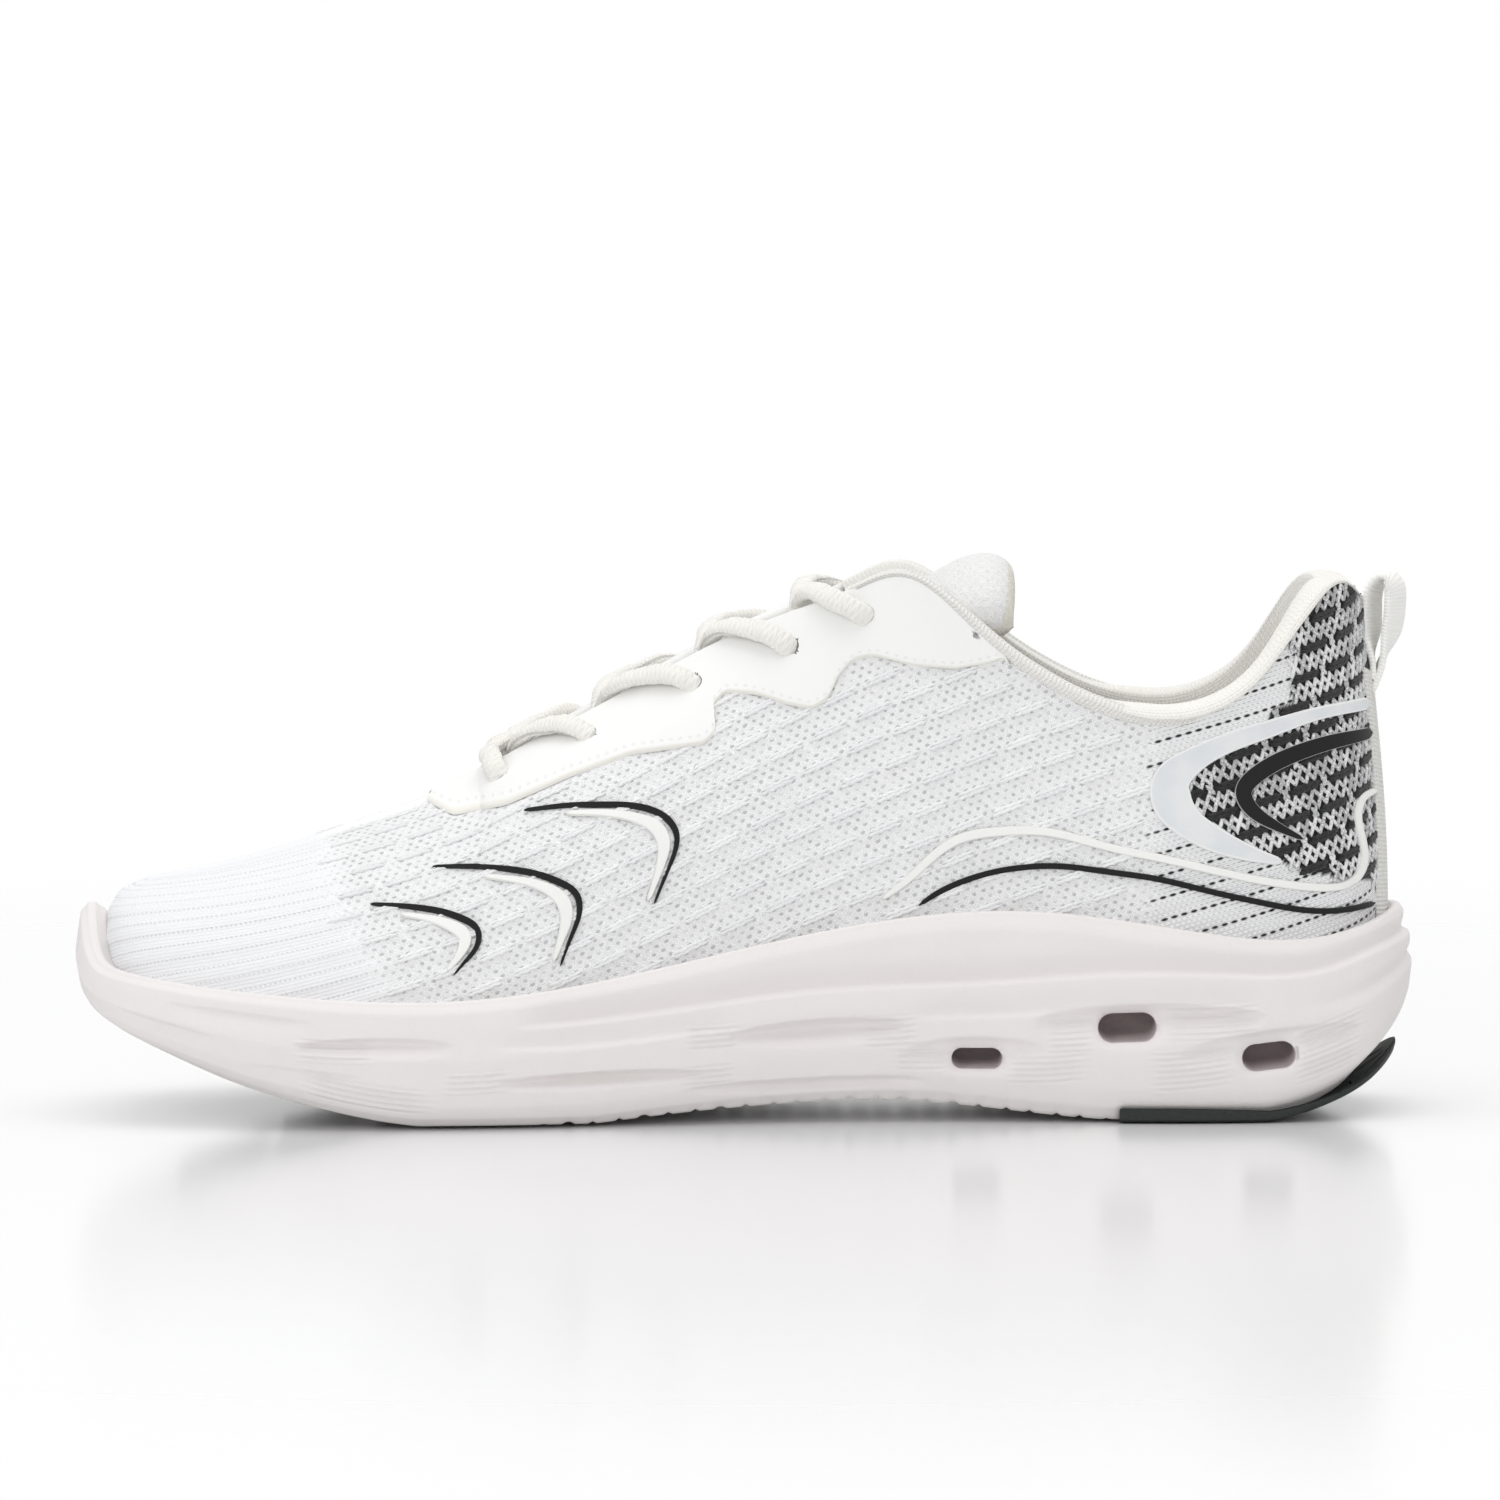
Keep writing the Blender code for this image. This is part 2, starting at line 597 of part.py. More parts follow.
# Stiffeners: their first station, the heights they cover and their thickness.
TOE_PUFF_END, TOE_PUFF_HEIGHTS, TOE_PUFF = 0.17, (0.1, 0.8), 0.8
COUNTER_START, COUNTER_HEIGHTS, COUNTER = 0.79, (0.1, 0.55), 1.0
# Collar: its first station, the heights the padding covers, where the lining starts and its thickness.
COLLAR_START, PADDING_HEIGHTS, LINING_LOW, LINING = 0.625, (0.6, 0.95), 0.14, 0.8
# How the lining rolls over the top line: (share of the collar's depth, rise).
COLLAR_ROLL = ((0.9, 1.4), (0.6, 2.4), (0.3, 2.2), (0.1, 1.2))


def collar_depth(t):
    """How far the lining lies inside the face of the knit: it is thickest round the heel."""
    return 4.8 + 2.8 * smooth_step(t, 0.6, 0.76)


def add_linings():
    """Toe puff and heel counter inside the knit, then the collar's padding and lining."""
    depth = -(KNIT + LAYER_GAP)
    t, side = round_the_end(TOE_PUFF_END, 0, 8)
    rows = wall_rows(t, side, np.linspace(*TOE_PUFF_HEIGHTS, 5), depth)
    sheet("toe_puff", rows, TOE_PUFF, STIFFENER, facing=away_from_foot)
    t, side = round_the_end(COUNTER_START, 1, 9)
    rows = wall_rows(t, side, np.linspace(*COUNTER_HEIGHTS, 5), depth)
    sheet("heel_counter", rows, COUNTER, STIFFENER, facing=away_from_foot)

    t, side = round_the_end(COLLAR_START, 1, 13)
    heights = np.linspace(*PADDING_HEIGHTS, 5)
    outer = wall_rows(t, side, heights, depth - COUNTER - LAYER_GAP)
    inner = wall_rows(t, side, heights, LAYER_GAP - collar_depth(t))
    slab_between("collar_padding", outer, inner, PADDING)

    rows = wall_rows(t, side, np.linspace(LINING_LOW, 1, 8), -collar_depth(t))
    top = wall(t, np.ones_like(t), side)
    flat_out = np.column_stack([outward(t, side), np.zeros_like(t)])
    for share, rise in COLLAR_ROLL:
        rows.append(top - share * collar_depth(t)[:, None] * flat_out + [0, 0, rise])
    sheet("collar_lining", rows, LINING, HEEL_KNIT, facing=away_from_foot)


def below_top_line(t, side, distance):
    """The height v of the places this far down the wall from the top line."""
    v = np.linspace(0.6, 1, 60)
    found = []
    for at in np.atleast_1d(t):
        path = wall(np.full_like(v, at), v, side)
        down = np.r_[0, np.cumsum(np.linalg.norm(np.diff(path[::-1], axis=0), axis=1))]
        found.append(np.interp(distance, down, v[::-1]))
    return np.array(found)


# Lower edge of the eyestay, seen from the side.
EYESTAY_EDGE = (
    (-71, 69.2), (-65, 67), (-53, 69.9), (-39, 76), (-25, 81), (-9, 83.2), (-6.3, 86), (-7.2, 91.5),
    (-4.5, 94.4), (2.5, 94), (9.7, 91.8), (15, 90.8), (18.5, 93), (20.8, 98), (24.1, 101.7), (28.5, 102.7),
    (37.6, 100.6), (47, 99.9), (54, 101.2), (59, 102.8),
)
EYESTAY_START, EYESTAY_END = -67.0, 58.0  # x of its ends on the top line
EYESTAY_MARGIN = 0.7  # how far it stays below the top line, or below the binding
BINDING_START, BINDING_END, BINDING_WIDTH, BINDING = 27.0, 100.0, 2.2, 0.9


def station_of_top(x):
    t = np.linspace(0.3, 0.95, 400)
    return np.interp(x, TOP_X(t), t)


def add_throat_trim():
    """Film eyestays along the throat, and the knitted tape that binds the front of the collar."""
    edge_x, edge_z = np.array(EYESTAY_EDGE).T
    for word, side in SIDES.items():
        low_t, low_v = find_on_wall(edge_x, edge_z, side)
        high_t = station_of_top(np.linspace(EYESTAY_START, EYESTAY_END, len(edge_x)))
        bound = smooth_step(TOP_X(high_t), BINDING_START - 7, BINDING_START - 2)
        high_v = below_top_line(high_t, side, EYESTAY_MARGIN)
        high_v += bound * (below_top_line(high_t, side, BINDING_WIDTH + EYESTAY_MARGIN) - high_v)
        low_v = np.minimum(low_v, high_v - 0.012)
        rows = []
        for share in np.linspace(0, 1, 6):
            t, v = low_t + share * (high_t - low_t), low_v + share * (high_v - low_v)
            rows.append(on_wall(t, v, side, FILM_GAP + FILM))
        eyestay = sheet(f"eyestay_{word}", rows, FILM, CREAM_FILM, facing=away_from_foot)
        punch_eyelets(eyestay, word)

        t = station_of_top(np.linspace(BINDING_START, BINDING_END, 15))
        rows = []
        for distance in (BINDING_WIDTH, BINDING_WIDTH / 2, 0.2):
            rows.append(on_wall(t, below_top_line(t, side, distance), side, LAYER_GAP + BINDING))
        sheet(f"collar_binding_{word}", rows, BINDING, WEBBING, facing=away_from_foot)


# Film shapes bonded to both sides of the upper: their finish, the number of stations they are built with,
# and (x, z, width) along the middle of each, seen from the side.
OVERLAYS = {
    "heel_wing": (CLEAR_FILM, 22, (
        (138.9, 91.6, 2.9), (127.3, 90.2, 3), (115.8, 86.8, 4), (105.7, 83.3, 4.7), (98.6, 79.4, 6.3),
        (94.6, 74.9, 8.6), (94.9, 70.9, 9), (97.8, 66.9, 7.4), (103.9, 62.9, 5.8), (112, 59.6, 3.6),
        (119.2, 57.6, 1.6),
    )),
    "heel_chevron": (BLACK_FILM, 18, (
        (139.4, 85, 2.2), (131.8, 84.1, 2.8), (120.3, 80.7, 3.2), (113.6, 76.9, 3.3), (110.7, 73.1, 3.2),
        (112, 69.8, 2.9), (116.3, 66.4, 2.2), (123.9, 62.5, 0.9),
    )),
    "side_line_cream": (CREAM_FILM, 34, (
        (30.4, 49.3, 1), (35.8, 53.3, 1.7), (41.6, 58.6, 2), (47.2, 62.4, 2.2), (55.8, 64.2, 2.2),
        (67.2, 64.2, 2), (80.1, 61.1, 1.9), (91.5, 58.7, 1.9), (103, 56.1, 1.9), (114.5, 53.6, 1.9),
        (123, 52.2, 1.9),
        (130.4, 51.6, 1.8), (134.5, 52.4, 1.7), (136.9, 55, 1.7), (136.9, 62, 1.6), (136.2, 68.6, 1.6),
        (137.6, 71.2, 1.6), (140.6, 72.1, 1.6),
    )),
    "side_line_black": (BLACK_FILM, 22, (
        (38.7, 48, 0.9), (42, 50.2, 1.5), (47.2, 52.8, 1.6), (53.1, 54.8, 1.6), (61.6, 56.4, 1.6),
        (70.2, 56.7, 1.6), (80.1, 55.6, 1.6), (91.5, 54, 1.6), (103, 51.3, 1.6), (114.5, 48.7, 1.6),
        (123, 47, 1.6), (131.8, 46.4, 1.6), (140.4, 47.2, 1.6),
    )),
    "stroke_black_1": (BLACK_FILM, 14, (
        (-49, 68.9, 0.8), (-39.1, 70.1, 1.5), (-31.9, 70.3, 1.8), (-21.1, 69.3, 2.1), (-16.9, 66.9, 2.2),
        (-15.3, 64.2, 2), (-16.2, 58.5, 1.4), (-18.2, 53.7, 1.1), (-20.2, 48.8, 0.8),
    )),
    "stroke_cream_1": (CREAM_FILM, 12, (
        (-40.5, 67.9, 0.8), (-32.2, 68, 1.3), (-23.8, 66.6, 2), (-20.1, 64.5, 2.6), (-18.9, 62, 2.5),
        (-19.3, 57.5, 1.7), (-20.8, 52.9, 1.1), (-22.3, 49, 0.8),
    )),
    "stroke_black_2": (BLACK_FILM, 14, (
        (-69.3, 56.6, 0.8), (-56.9, 56.8, 1.6), (-47.7, 55.9, 2), (-40.5, 53.5, 2.2), (-37.3, 51, 2.2),
        (-36.7, 47.5, 1.9), (-38.5, 42, 1.3), (-40.9, 35.6, 0.8),
    )),
    "stroke_cream_2": (CREAM_FILM, 12, (
        (-58.5, 54.4, 0.8), (-49.8, 53.5, 1.4), (-43.6, 51.4, 2.2), (-41, 49, 2.6), (-40.3, 46.2, 2.3),
        (-41.4, 41.2, 1.4), (-43.2, 36, 0.8),
    )),
    "stroke_black_3": (BLACK_FILM, 12, (
        (-83, 48.8, 0.9), (-76.7, 48.5, 1.4), (-67.9, 47.5, 1.9), (-62.3, 45.8, 2.1), (-59.1, 43.4, 2.1),
        (-59.1, 40.6, 1.8), (-61.6, 37, 1.3), (-64.4, 33.8, 0.8),
    )),
    "stroke_cream_3": (CREAM_FILM, 10, (
        (-77, 46.2, 0.8), (-69.6, 45.1, 1.4), (-65, 43.5, 2.2), (-62.7, 41.6, 2.4), (-63.2, 38.8, 1.8),
        (-65.4, 35.6, 1), (-66.8, 33.9, 0.8),
    )),
}


def ribbon_edges(stations, count):
    """Both edges and the middle of a smooth ribbon through (x, z, width) stations in the side view."""
    points = np.array(stations, float)
    along = np.r_[0, np.cumsum(np.linalg.norm(np.diff(points[:, :2], axis=0), axis=1))]
    at = np.linspace(0, along[-1], count)
    x, z, width = (Curve(*zip(along, column))(at) for column in points.T)
    forward = np.column_stack([np.gradient(x, at), np.gradient(z, at)])
    forward /= np.linalg.norm(forward, axis=1, keepdims=True)
    half = np.maximum(width, 0.5)[:, None] / 2 * np.column_stack([-forward[:, 1], forward[:, 0]])
    middle = np.column_stack([x, z])
    return middle - half, middle, middle + half


def add_overlays():
    for name, (finish, count, stations) in OVERLAYS.items():
        for word, side in SIDES.items():
            low, middle, high = ribbon_edges(stations, count)
            lines = (low, middle, high) if name == "heel_wing" else (low, high)
            rows = []
            for line in lines:
                t, v = find_on_wall(line[:, 0], line[:, 1], side)
                rows.append(on_wall(t, v, side, FILM_GAP + FILM))
            sheet(f"{name}_{word}", rows, FILM, finish, facing=away_from_foot)


# Tongue.
TONGUE_SPAN = (-50.0, 33.0)
TONGUE_LINE = Curve(  # height of its face along the middle
    (-60, 68.5), (-48, 74.8), (-36, 81), (-13, 93.5), (7, 103), (24, 110.4), (34, 114.4), (44, 119)
)
# The tab above the laces: x, z and half width up the middle of its face.
TAB_FACE = (
    (36.2, 115.8, 15.5), (41, 118.4, 17), (46, 121.2, 18), (51.2, 123.7, 18.5), (56.4, 125.2, 16.5)
)
TAB_CENTRE, TAB_DROP = 2.2, 0.022  # y of its middle, and how its face falls away to the sides
TONGUE_COLUMNS = 9


def across_tongue(t):
    """A smooth arch of points across the tongue's face, which follows the inside of the upper."""
    heights = np.array([0.76, 0.84, 0.92])
    sides = [on_wall(np.full(3, t), heights, side, -TONGUE_DEPTH) for side in (MEDIAL, LATERAL)]
    x = TOP_X(t)
    points = np.vstack([*sides, np.tile([x, TOP_CENTRE(x), TONGUE_LINE(x)], (4, 1))])
    y = np.linspace(points[:, 1].min(), points[:, 1].max(), TONGUE_COLUMNS)
    return np.column_stack([
        np.polyval(np.polyfit(points[:, 1], points[:, 0], 2), y),
        y,
        np.polyval(np.polyfit(points[:, 1], points[:, 2], 2), y),
    ])


def across_tab(x, z, half):
    y = np.linspace(-half, half, TONGUE_COLUMNS)
    return np.column_stack([np.full(TONGUE_COLUMNS, x), TAB_CENTRE + y, z - TAB_DROP * y * y])


def sunk(rows, depth):
    """A grid moved inward along its own normals."""
    grid = np.array(rows)
    normal = np.cross(np.gradient(grid, axis=0), np.gradient(grid, axis=1))
    normal /= np.linalg.norm(normal, axis=-1, keepdims=True)
    return grid - depth * normal * np.sign(normal[..., 2:])


def add_tongue():
    finishes = {"face": WHITE_KNIT, "padding": PADDING, "lining": HEEL_KNIT}
    grids = {
        "tongue": [across_tongue(t) for t in station_of_top(np.linspace(*TONGUE_SPAN, 9))],
        "tongue_tab": [across_tab(x, z, half) for x, z, half in TAB_FACE],
    }
    stacks = {"tongue": TONGUE_LAYERS, "tongue_tab": TAB_LAYERS}
    for name, rows in grids.items():
        for layer, depth, thickness in stacks[name]:
            outer, inner = sunk(rows, depth), sunk(rows, depth + thickness)
            slab_between(f"{name}_{layer}", outer, inner, finishes[layer])


# Lace: from each eyelet it dives under the edge, crosses the throat and goes over the far edge into the next
# eyelet.
def crossing(k, side):
    """The path of the lace from one eyelet to the next one up, on the other side."""
    t0, v0 = find_on_wall(*EYELETS[k], side)
    t1, v1 = find_on_wall(*EYELETS[k + 1], -side)
    between = (TOP_X(t0) + TOP_X(t1)) / 2
    ridge = (TOP_Z(between + 1) - TOP_Z(between - 1)) / 2
    rise = 1.3 if side == MEDIAL else -2.3
    edge_t0, edge_t1 = t0 + 0.35 * (t1 - t0), t0 + 0.7 * (t1 - t0)
    start = on_wall(t0, v0, side, LACE_UNDER)
    leaving = [on_wall(edge_t0, v, side, LACE_UNDER - drop) for v, drop in ((0.965, 0.4), (1, 1.2))]
    middle = np.array([between, TOP_CENTRE(between), TOP_Z(between) + rise]) - 0.3 * np.array([ridge, 0, 0])
    landing = [wall(edge_t1, 1.0, -side) + [0, 0, LACE_OVER], on_wall(edge_t1, 0.97, -side, LACE_OVER)]
    approach = on_wall(t1, v1 + 0.35 * (1 - v1), -side, LACE_OVER + 0.3)
    arrive = on_wall(t1, v1, -side, LACE_OVER - 0.4)
    return [start, *leaving, middle, *landing, approach, arrive]


def strand(side):
    """Half of the lace, from the middle of the bottom bar up to its end inside the collar."""
    t, v = find_on_wall(*EYELETS[0], side)
    bar = np.array([TOP_X(t), TOP_CENTRE(TOP_X(t)), TOP_Z(TOP_X(t)) + LACE_OVER])
    points = [bar, on_wall(t, 1.0, side, LACE_OVER), on_wall(t, 0.95, side, LACE_OVER)]
    points.append(on_wall(t, v, side, LACE_OVER - 0.4))
    for k in range(len(EYELETS) - 1):
        points.extend(crossing(k, side))
        side = -side
    for x, z in (EYELETS[-1], (33, 106.5), (39, 102)):
        t, v = find_on_wall(x, z, side)
        points.append(on_wall(t, v, side, LACE_UNDER))
    return points


def tube(name, path, radius, finish, resolution=1):
    data = bpy.data.curves.new(name, "CURVE")
    data.dimensions = "3D"
    data.bevel_depth = radius * MM
    data.bevel_resolution = resolution
    data.use_fill_caps = True
    data.render_resolution_u = 0
    spline = data.splines.new("POLY")
    spline.points.add(len(path) - 1)
    for point, (x, y, z) in zip(spline.points, path):
        point.co = (x * MM, y * MM, z * MM, 1)
    made = bpy.data.objects.new(name, data)
    SHOE.objects.link(made)
    data.materials.append(finish)
    return made


def add_lace():
    strands = [strand(side) for side in (MEDIAL, LATERAL)]
    tube("lace", strands[0][:0:-1] + strands[1], LACE_RADIUS, LACE_CORD)
    for word, points in zip(("start", "end"), strands):
        last, before = np.array(points[-1]), np.array(points[-2])
        away = (last - before) / np.linalg.norm(last - before)
        side = MEDIAL if last[1] < 0 else LATERAL
        ends = [last + away * 0.6]
        for x, z in ((44.5, 98), (49, 95)):
            t, v = find_on_wall(x, z, side)
            ends.append(on_wall(t, v, side, LACE_UNDER))
        tube(f"aglet_{word}", ends, LACE_RADIUS - 0.2, AGLET_PLASTIC)


# Heel tape and pull loop.
LOOP_PATH = (
    (142.5, 98.6), (142.2, 105), (141.7, 112), (142.2, 117.6), (144.3, 119.6), (146.6, 117.9), (147.6, 112),
    (147.2, 106.5), (145.9, 102), (144.8, 98.6),
)


def add_heel_tape():
    rows = []
    reach = np.linspace(0.9, 1, 60)
    for v in np.linspace(0.1, 1, 40):
        if wall(1.0, v, MEDIAL)[2] > TAPE_TOP:
            break
        row = []
        for y in np.linspace(-TAPE_HALF_WIDTH, TAPE_HALF_WIDTH, 5):
            side = MEDIAL if y < 0 else LATERAL
            width = wall(reach, np.full_like(reach, v), side)[:, 1] - wall(1.0, v, side)[1]
            t = np.interp(abs(y), np.abs(width)[::-1], reach[::-1])
            row.append(on_wall(t, v, side, LAYER_GAP + TAPE_THICKNESS))
        rows.append(row)
    sheet("heel_tape", rows[::3], TAPE_THICKNESS, WEBBING, facing=away_from_foot)


def add_pull_loop():
    path = np.array(LOOP_PATH)
    forward = np.gradient(path, axis=0)
    forward /= np.linalg.norm(forward, axis=1, keepdims=True)
    across = STRAP / 2 * np.column_stack([-forward[:, 1], forward[:, 0]])
    corners = np.vstack([path + across, (path - across)[::-1]])
    mesh_edit = bmesh.new()
    centre = wall(1.0, 0.9, MEDIAL)[1]
    ends = []
    for y in (centre - LOOP_HALF_WIDTH, centre + LOOP_HALF_WIDTH):
        ends.append([mesh_edit.verts.new((x * MM, y * MM, z * MM)) for x, z in corners])
    count = len(corners)
    for i in range(count):
        j = (i + 1) % count
        mesh_edit.faces.new((ends[0][i], ends[0][j], ends[1][j], ends[1][i]))
    for end in ends:
        for i in range(len(path) - 1):
            mesh_edit.faces.new((end[i], end[i + 1], end[count - 2 - i], end[count - 1 - i]))
    object_from("pull_loop", mesh_edit, WEBBING)


EYELET_CUTTERS = {}
for word, side in SIDES.items():
    laced = eyelet_cutters(side, word, EYELETS, EYELET_RADIUS)
    spare = eyelet_cutters(side, word, (SPARE_EYELET,), SPARE_RADIUS)
    EYELET_CUTTERS[word] = laced + spare

add_sole()
add_inner_sole()
add_upper()
add_linings()
add_throat_trim()
add_overlays()
add_tongue()
add_lace()
add_heel_tape()
add_pull_loop()
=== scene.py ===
"""Looks of the running shoe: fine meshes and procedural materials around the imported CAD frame.

Shapes are lofted round the foot as in the CAD. A place on the upper or the sole is (t, v, side): t runs from
0 at the toe tip to 1 at the back of the heel, v from 0 at the feather line to 1 at the top line, and side is -1
on the medial wall and +1 on the lateral wall. Sizes are in millimetres, for a shoe 300 mm long, and are scaled
to the frame's length.
"""

import json
import math
from contextlib import contextmanager

import bmesh
import bpy
import numpy as np
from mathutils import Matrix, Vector


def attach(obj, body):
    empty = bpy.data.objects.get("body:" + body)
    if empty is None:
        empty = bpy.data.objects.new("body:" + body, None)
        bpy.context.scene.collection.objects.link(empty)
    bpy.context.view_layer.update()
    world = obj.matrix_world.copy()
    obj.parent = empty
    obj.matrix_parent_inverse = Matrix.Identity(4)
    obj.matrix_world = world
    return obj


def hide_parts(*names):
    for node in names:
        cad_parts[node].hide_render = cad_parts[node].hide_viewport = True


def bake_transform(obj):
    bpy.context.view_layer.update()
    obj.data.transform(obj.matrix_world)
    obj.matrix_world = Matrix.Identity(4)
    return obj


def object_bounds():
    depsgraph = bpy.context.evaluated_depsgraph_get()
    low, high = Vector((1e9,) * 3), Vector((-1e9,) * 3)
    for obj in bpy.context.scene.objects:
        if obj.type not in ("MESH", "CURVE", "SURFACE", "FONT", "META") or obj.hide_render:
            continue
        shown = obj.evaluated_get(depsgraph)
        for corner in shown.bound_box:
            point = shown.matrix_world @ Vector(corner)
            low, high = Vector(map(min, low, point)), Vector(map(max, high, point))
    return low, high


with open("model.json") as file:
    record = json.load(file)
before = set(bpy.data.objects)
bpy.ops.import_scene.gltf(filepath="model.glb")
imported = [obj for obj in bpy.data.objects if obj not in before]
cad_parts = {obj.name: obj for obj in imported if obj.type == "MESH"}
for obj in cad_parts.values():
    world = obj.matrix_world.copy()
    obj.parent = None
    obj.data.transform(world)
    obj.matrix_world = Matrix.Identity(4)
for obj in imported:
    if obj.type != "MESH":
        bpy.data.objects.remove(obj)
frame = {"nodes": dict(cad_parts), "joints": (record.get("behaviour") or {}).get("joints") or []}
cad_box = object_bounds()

LENGTH = 300.0
MM = (cad_box[1][0] - cad_box[0][0]) / LENGTH
MEDIAL, LATERAL = -1, 1
SIDES = {"medial": MEDIAL, "lateral": LATERAL}

# Where the forefoot's bend starts and ends, each side of the flex joint.
BEND_REACH = 25.0
FLEX = next(joint for joint in frame["joints"] if joint["name"] == "forefoot_flex")
BEND_START, BEND_END = FLEX["pos_m"][0] + BEND_REACH * MM, FLEX["pos_m"][0] - BEND_REACH * MM

# Sole. Insets are measured inward from its outline.
RIM_INSET, RIM_WIDTH = 2.6, 2.3
CUP_INSET = RIM_INSET + RIM_WIDTH + 0.3
UPPER_INSET = CUP_INSET + 1.9
TOE_LIP_RISE, TOE_LIP_SPREAD = 12.0, 0.045
FOAM_LIFT = 0.5  # the foam's underside above the rubber's
STROBEL, LAYER_GAP = 1.5, 0.35  # thickness of the board under the insole, and the room between layers
FOAM_NOTCH, ARCH_RIPPLE, RIPPLE_PITCH = 0.5, 0.6, 5.6
GUIDE_GROOVE, GUIDE_WIDTH = 2.2, 3.0
RIDGE_PITCH, RIDGE_HEIGHT = 1.35, 0.09
INSOLE_INSET, INSOLE_TOP = 11.0, 7.5  # its edge inside the outline, and its height above the footbed

# Rubber.
PAD_THICKNESS, HEEL_PAD_THICKNESS, HEEL_PAD_THINNING = 2.6, 3.0, 1.9
LUG_DEPTH, HEEL_LUG_PITCH, FOREFOOT_LUG_PITCH = 1.3, 8.0, 8.5
HEEL_PAD = (83.2, 146.2, 3.7)  # x from and to, and inset
FOREFOOT_PADS = (  # node, x from and to, inset and body
    ("ball_outsole_rear", -82, -36, 13, "rearfoot"), ("ball_outsole_front", -105, -88, 13, "forefoot"),
    ("toe_outsole", -127, -108, 17, "forefoot"),
)

# Upper.
THROAT_T, THROAT_ROUND = 0.372, 0.035
TONGUE_DEPTH, TONGUE_THICKNESS, TONGUE_SPREAD = 6.4, 6.0, 2.5
EYELET_RADIUS, SPARE_RADIUS = 2.2, 1.1
FILM_RISE, HEEL_FILM_RISE = 0.65, 0.75  # height over the knit, and the share added over the heel's thick knit
EYESTAY_RISE, EYESTAY_START, EYESTAY_END = 0.85, -71.0, 59.0
BINDING_START, BINDING_END, BINDING_WIDTH = 27.0, 100.0, 2.2
TAPE_STITCH, TAPE_PITCH = 0.045, 0.95  # depth and pitch of the stitches across the collar tape
ROLL_WIDTH, ROLL_RISE = 0.9, 0.7

# Laces: the oval of the braid, and how far its middle runs outside and inside the upper.
LACE_HALF_WIDTH, LACE_HALF_HEIGHT = 2.5, 1.6
LACE_OVER, LACE_UNDER = 3.3, -3.6
BRAID_PITCH, TIP_RADII = 1.5, (1.5, 1.4)
# x, z of its end and of its tip, inside the collar.
LACE_INSIDE, TIP_INSIDE = ((33, 106.5), (39, 102)), ((44.5, 98), (49, 95))

# Heel tape and pull loop.
TAPE_TOP, TAPE_REACH, TAPE_RISE = 97.0, 11.8, 1.25  # the reach is half its width, measured round the heel
LOOP_HALF_WIDTH, STRAP = 5.5, 1.6
LOOP_TWIST = 24  # degrees
LOOP_FOOT, LOOP_BEND = (142.5, -2.7), (94, 101)  # x and y of its foot, and the heights between which it bends
# The loop seen from the side: from under the top of the heel tape, up, over and down onto the tape.
LOOP_PATH = (
    (140.8, 96.6), (140.6, 101), (140.5, 107), (140.5, 112.5), (141.2, 117), (143.4, 119.2),
    (145.3, 117.8), (145.9, 114.3), (145.6, 110.3), (144.5, 105.2), (143, 100.6), (141.9, 97.2),
    (141, 95), (140.2, 93.2),
)

# Tab of the tongue: x, z, thickness and half width up its middle.
TAB_MIDDLE = (
    (36, 112, 7.5, 15.5), (42, 114, 10, 17), (48, 115.7, 13.6, 18), (54, 116, 16.6, 18.5),
    (60, 114.6, 13.5, 16.5),
)

# Knit: the points up its surface and how far it swells between rows of stitches. A ROW is the distance between
# rows, and a STEP the distance between stitches along one.
KNIT_ROWS, KNIT_PUFF = 112, 0.12
KNIT_SLOPE, HEEL_SLOPE = math.radians(19), math.radians(16)  # the rows climb this much towards the heel
RIB_ROW, RIB_STEP, RIB_LENGTH = 6.3, 11.0, 8.7
DASH_ROW, DASH_STEP, DASH_LENGTH = 5.8, 10.6, 7.6
LOOP_STEP, LOOP_LEAN, LOOP_HEIGHT = 2.3, 2.5, 5.0

# Studio, in metres and watts.
CAMERA_DISTANCE, FRAME_WIDTH, CAMERA_ELEVATION = 2.5, 0.3373, 4.5
CAMERA_TARGET = (1.1, 0, 80.1)  # millimetres
WORLD_LIGHT, FLOOR_FADE = 0.5, (260, 700)
LIGHT_TARGET = (0, 0, 0.06)
LIGHTS = (  # name, place, size and power
    ("top_light", (0, -0.1, 1.5), (1.6, 1.4), 12.0),
    ("front_light", (-0.3, -1.7, 0.6), (1.5, 1.0), 7.9),
    ("toe_light", (-1.6, -0.4, 0.7), (1.0, 1.0), 3.4),
    ("heel_light", (1.6, -0.2, 0.8), (0.9, 1.0), 2.6),
    ("back_light", (0.1, 1.6, 0.9), (1.5, 1.0), 6),
)


class Curve:
    """A natural cubic spline through (position, value) points."""

    def __init__(self, *points):
        self.x, self.y = np.array(points, float).T
        count, step = len(self.x), np.diff(self.x)
        system, right = np.eye(count), np.zeros(count)
        for i in range(1, count - 1):
            system[i, i - 1 : i + 2] = step[i - 1], 2 * (step[i - 1] + step[i]), step[i]
            right[i] = 6 * (
                (self.y[i + 1] - self.y[i]) / step[i]
                - (self.y[i] - self.y[i - 1]) / step[i - 1]
            )
        self.bend = np.linalg.solve(system, right)

    def __call__(self, at):
        at = np.asarray(at, float)
        i = np.clip(np.searchsorted(self.x, at) - 1, 0, len(self.x) - 2)
        step = self.x[i + 1] - self.x[i]
        a, b = (self.x[i + 1] - at) / step, (at - self.x[i]) / step
        cubic = (a**3 - a) * self.bend[i] + (b**3 - b) * self.bend[i + 1]
        return a * self.y[i] + b * self.y[i + 1] + cubic * step**2 / 6


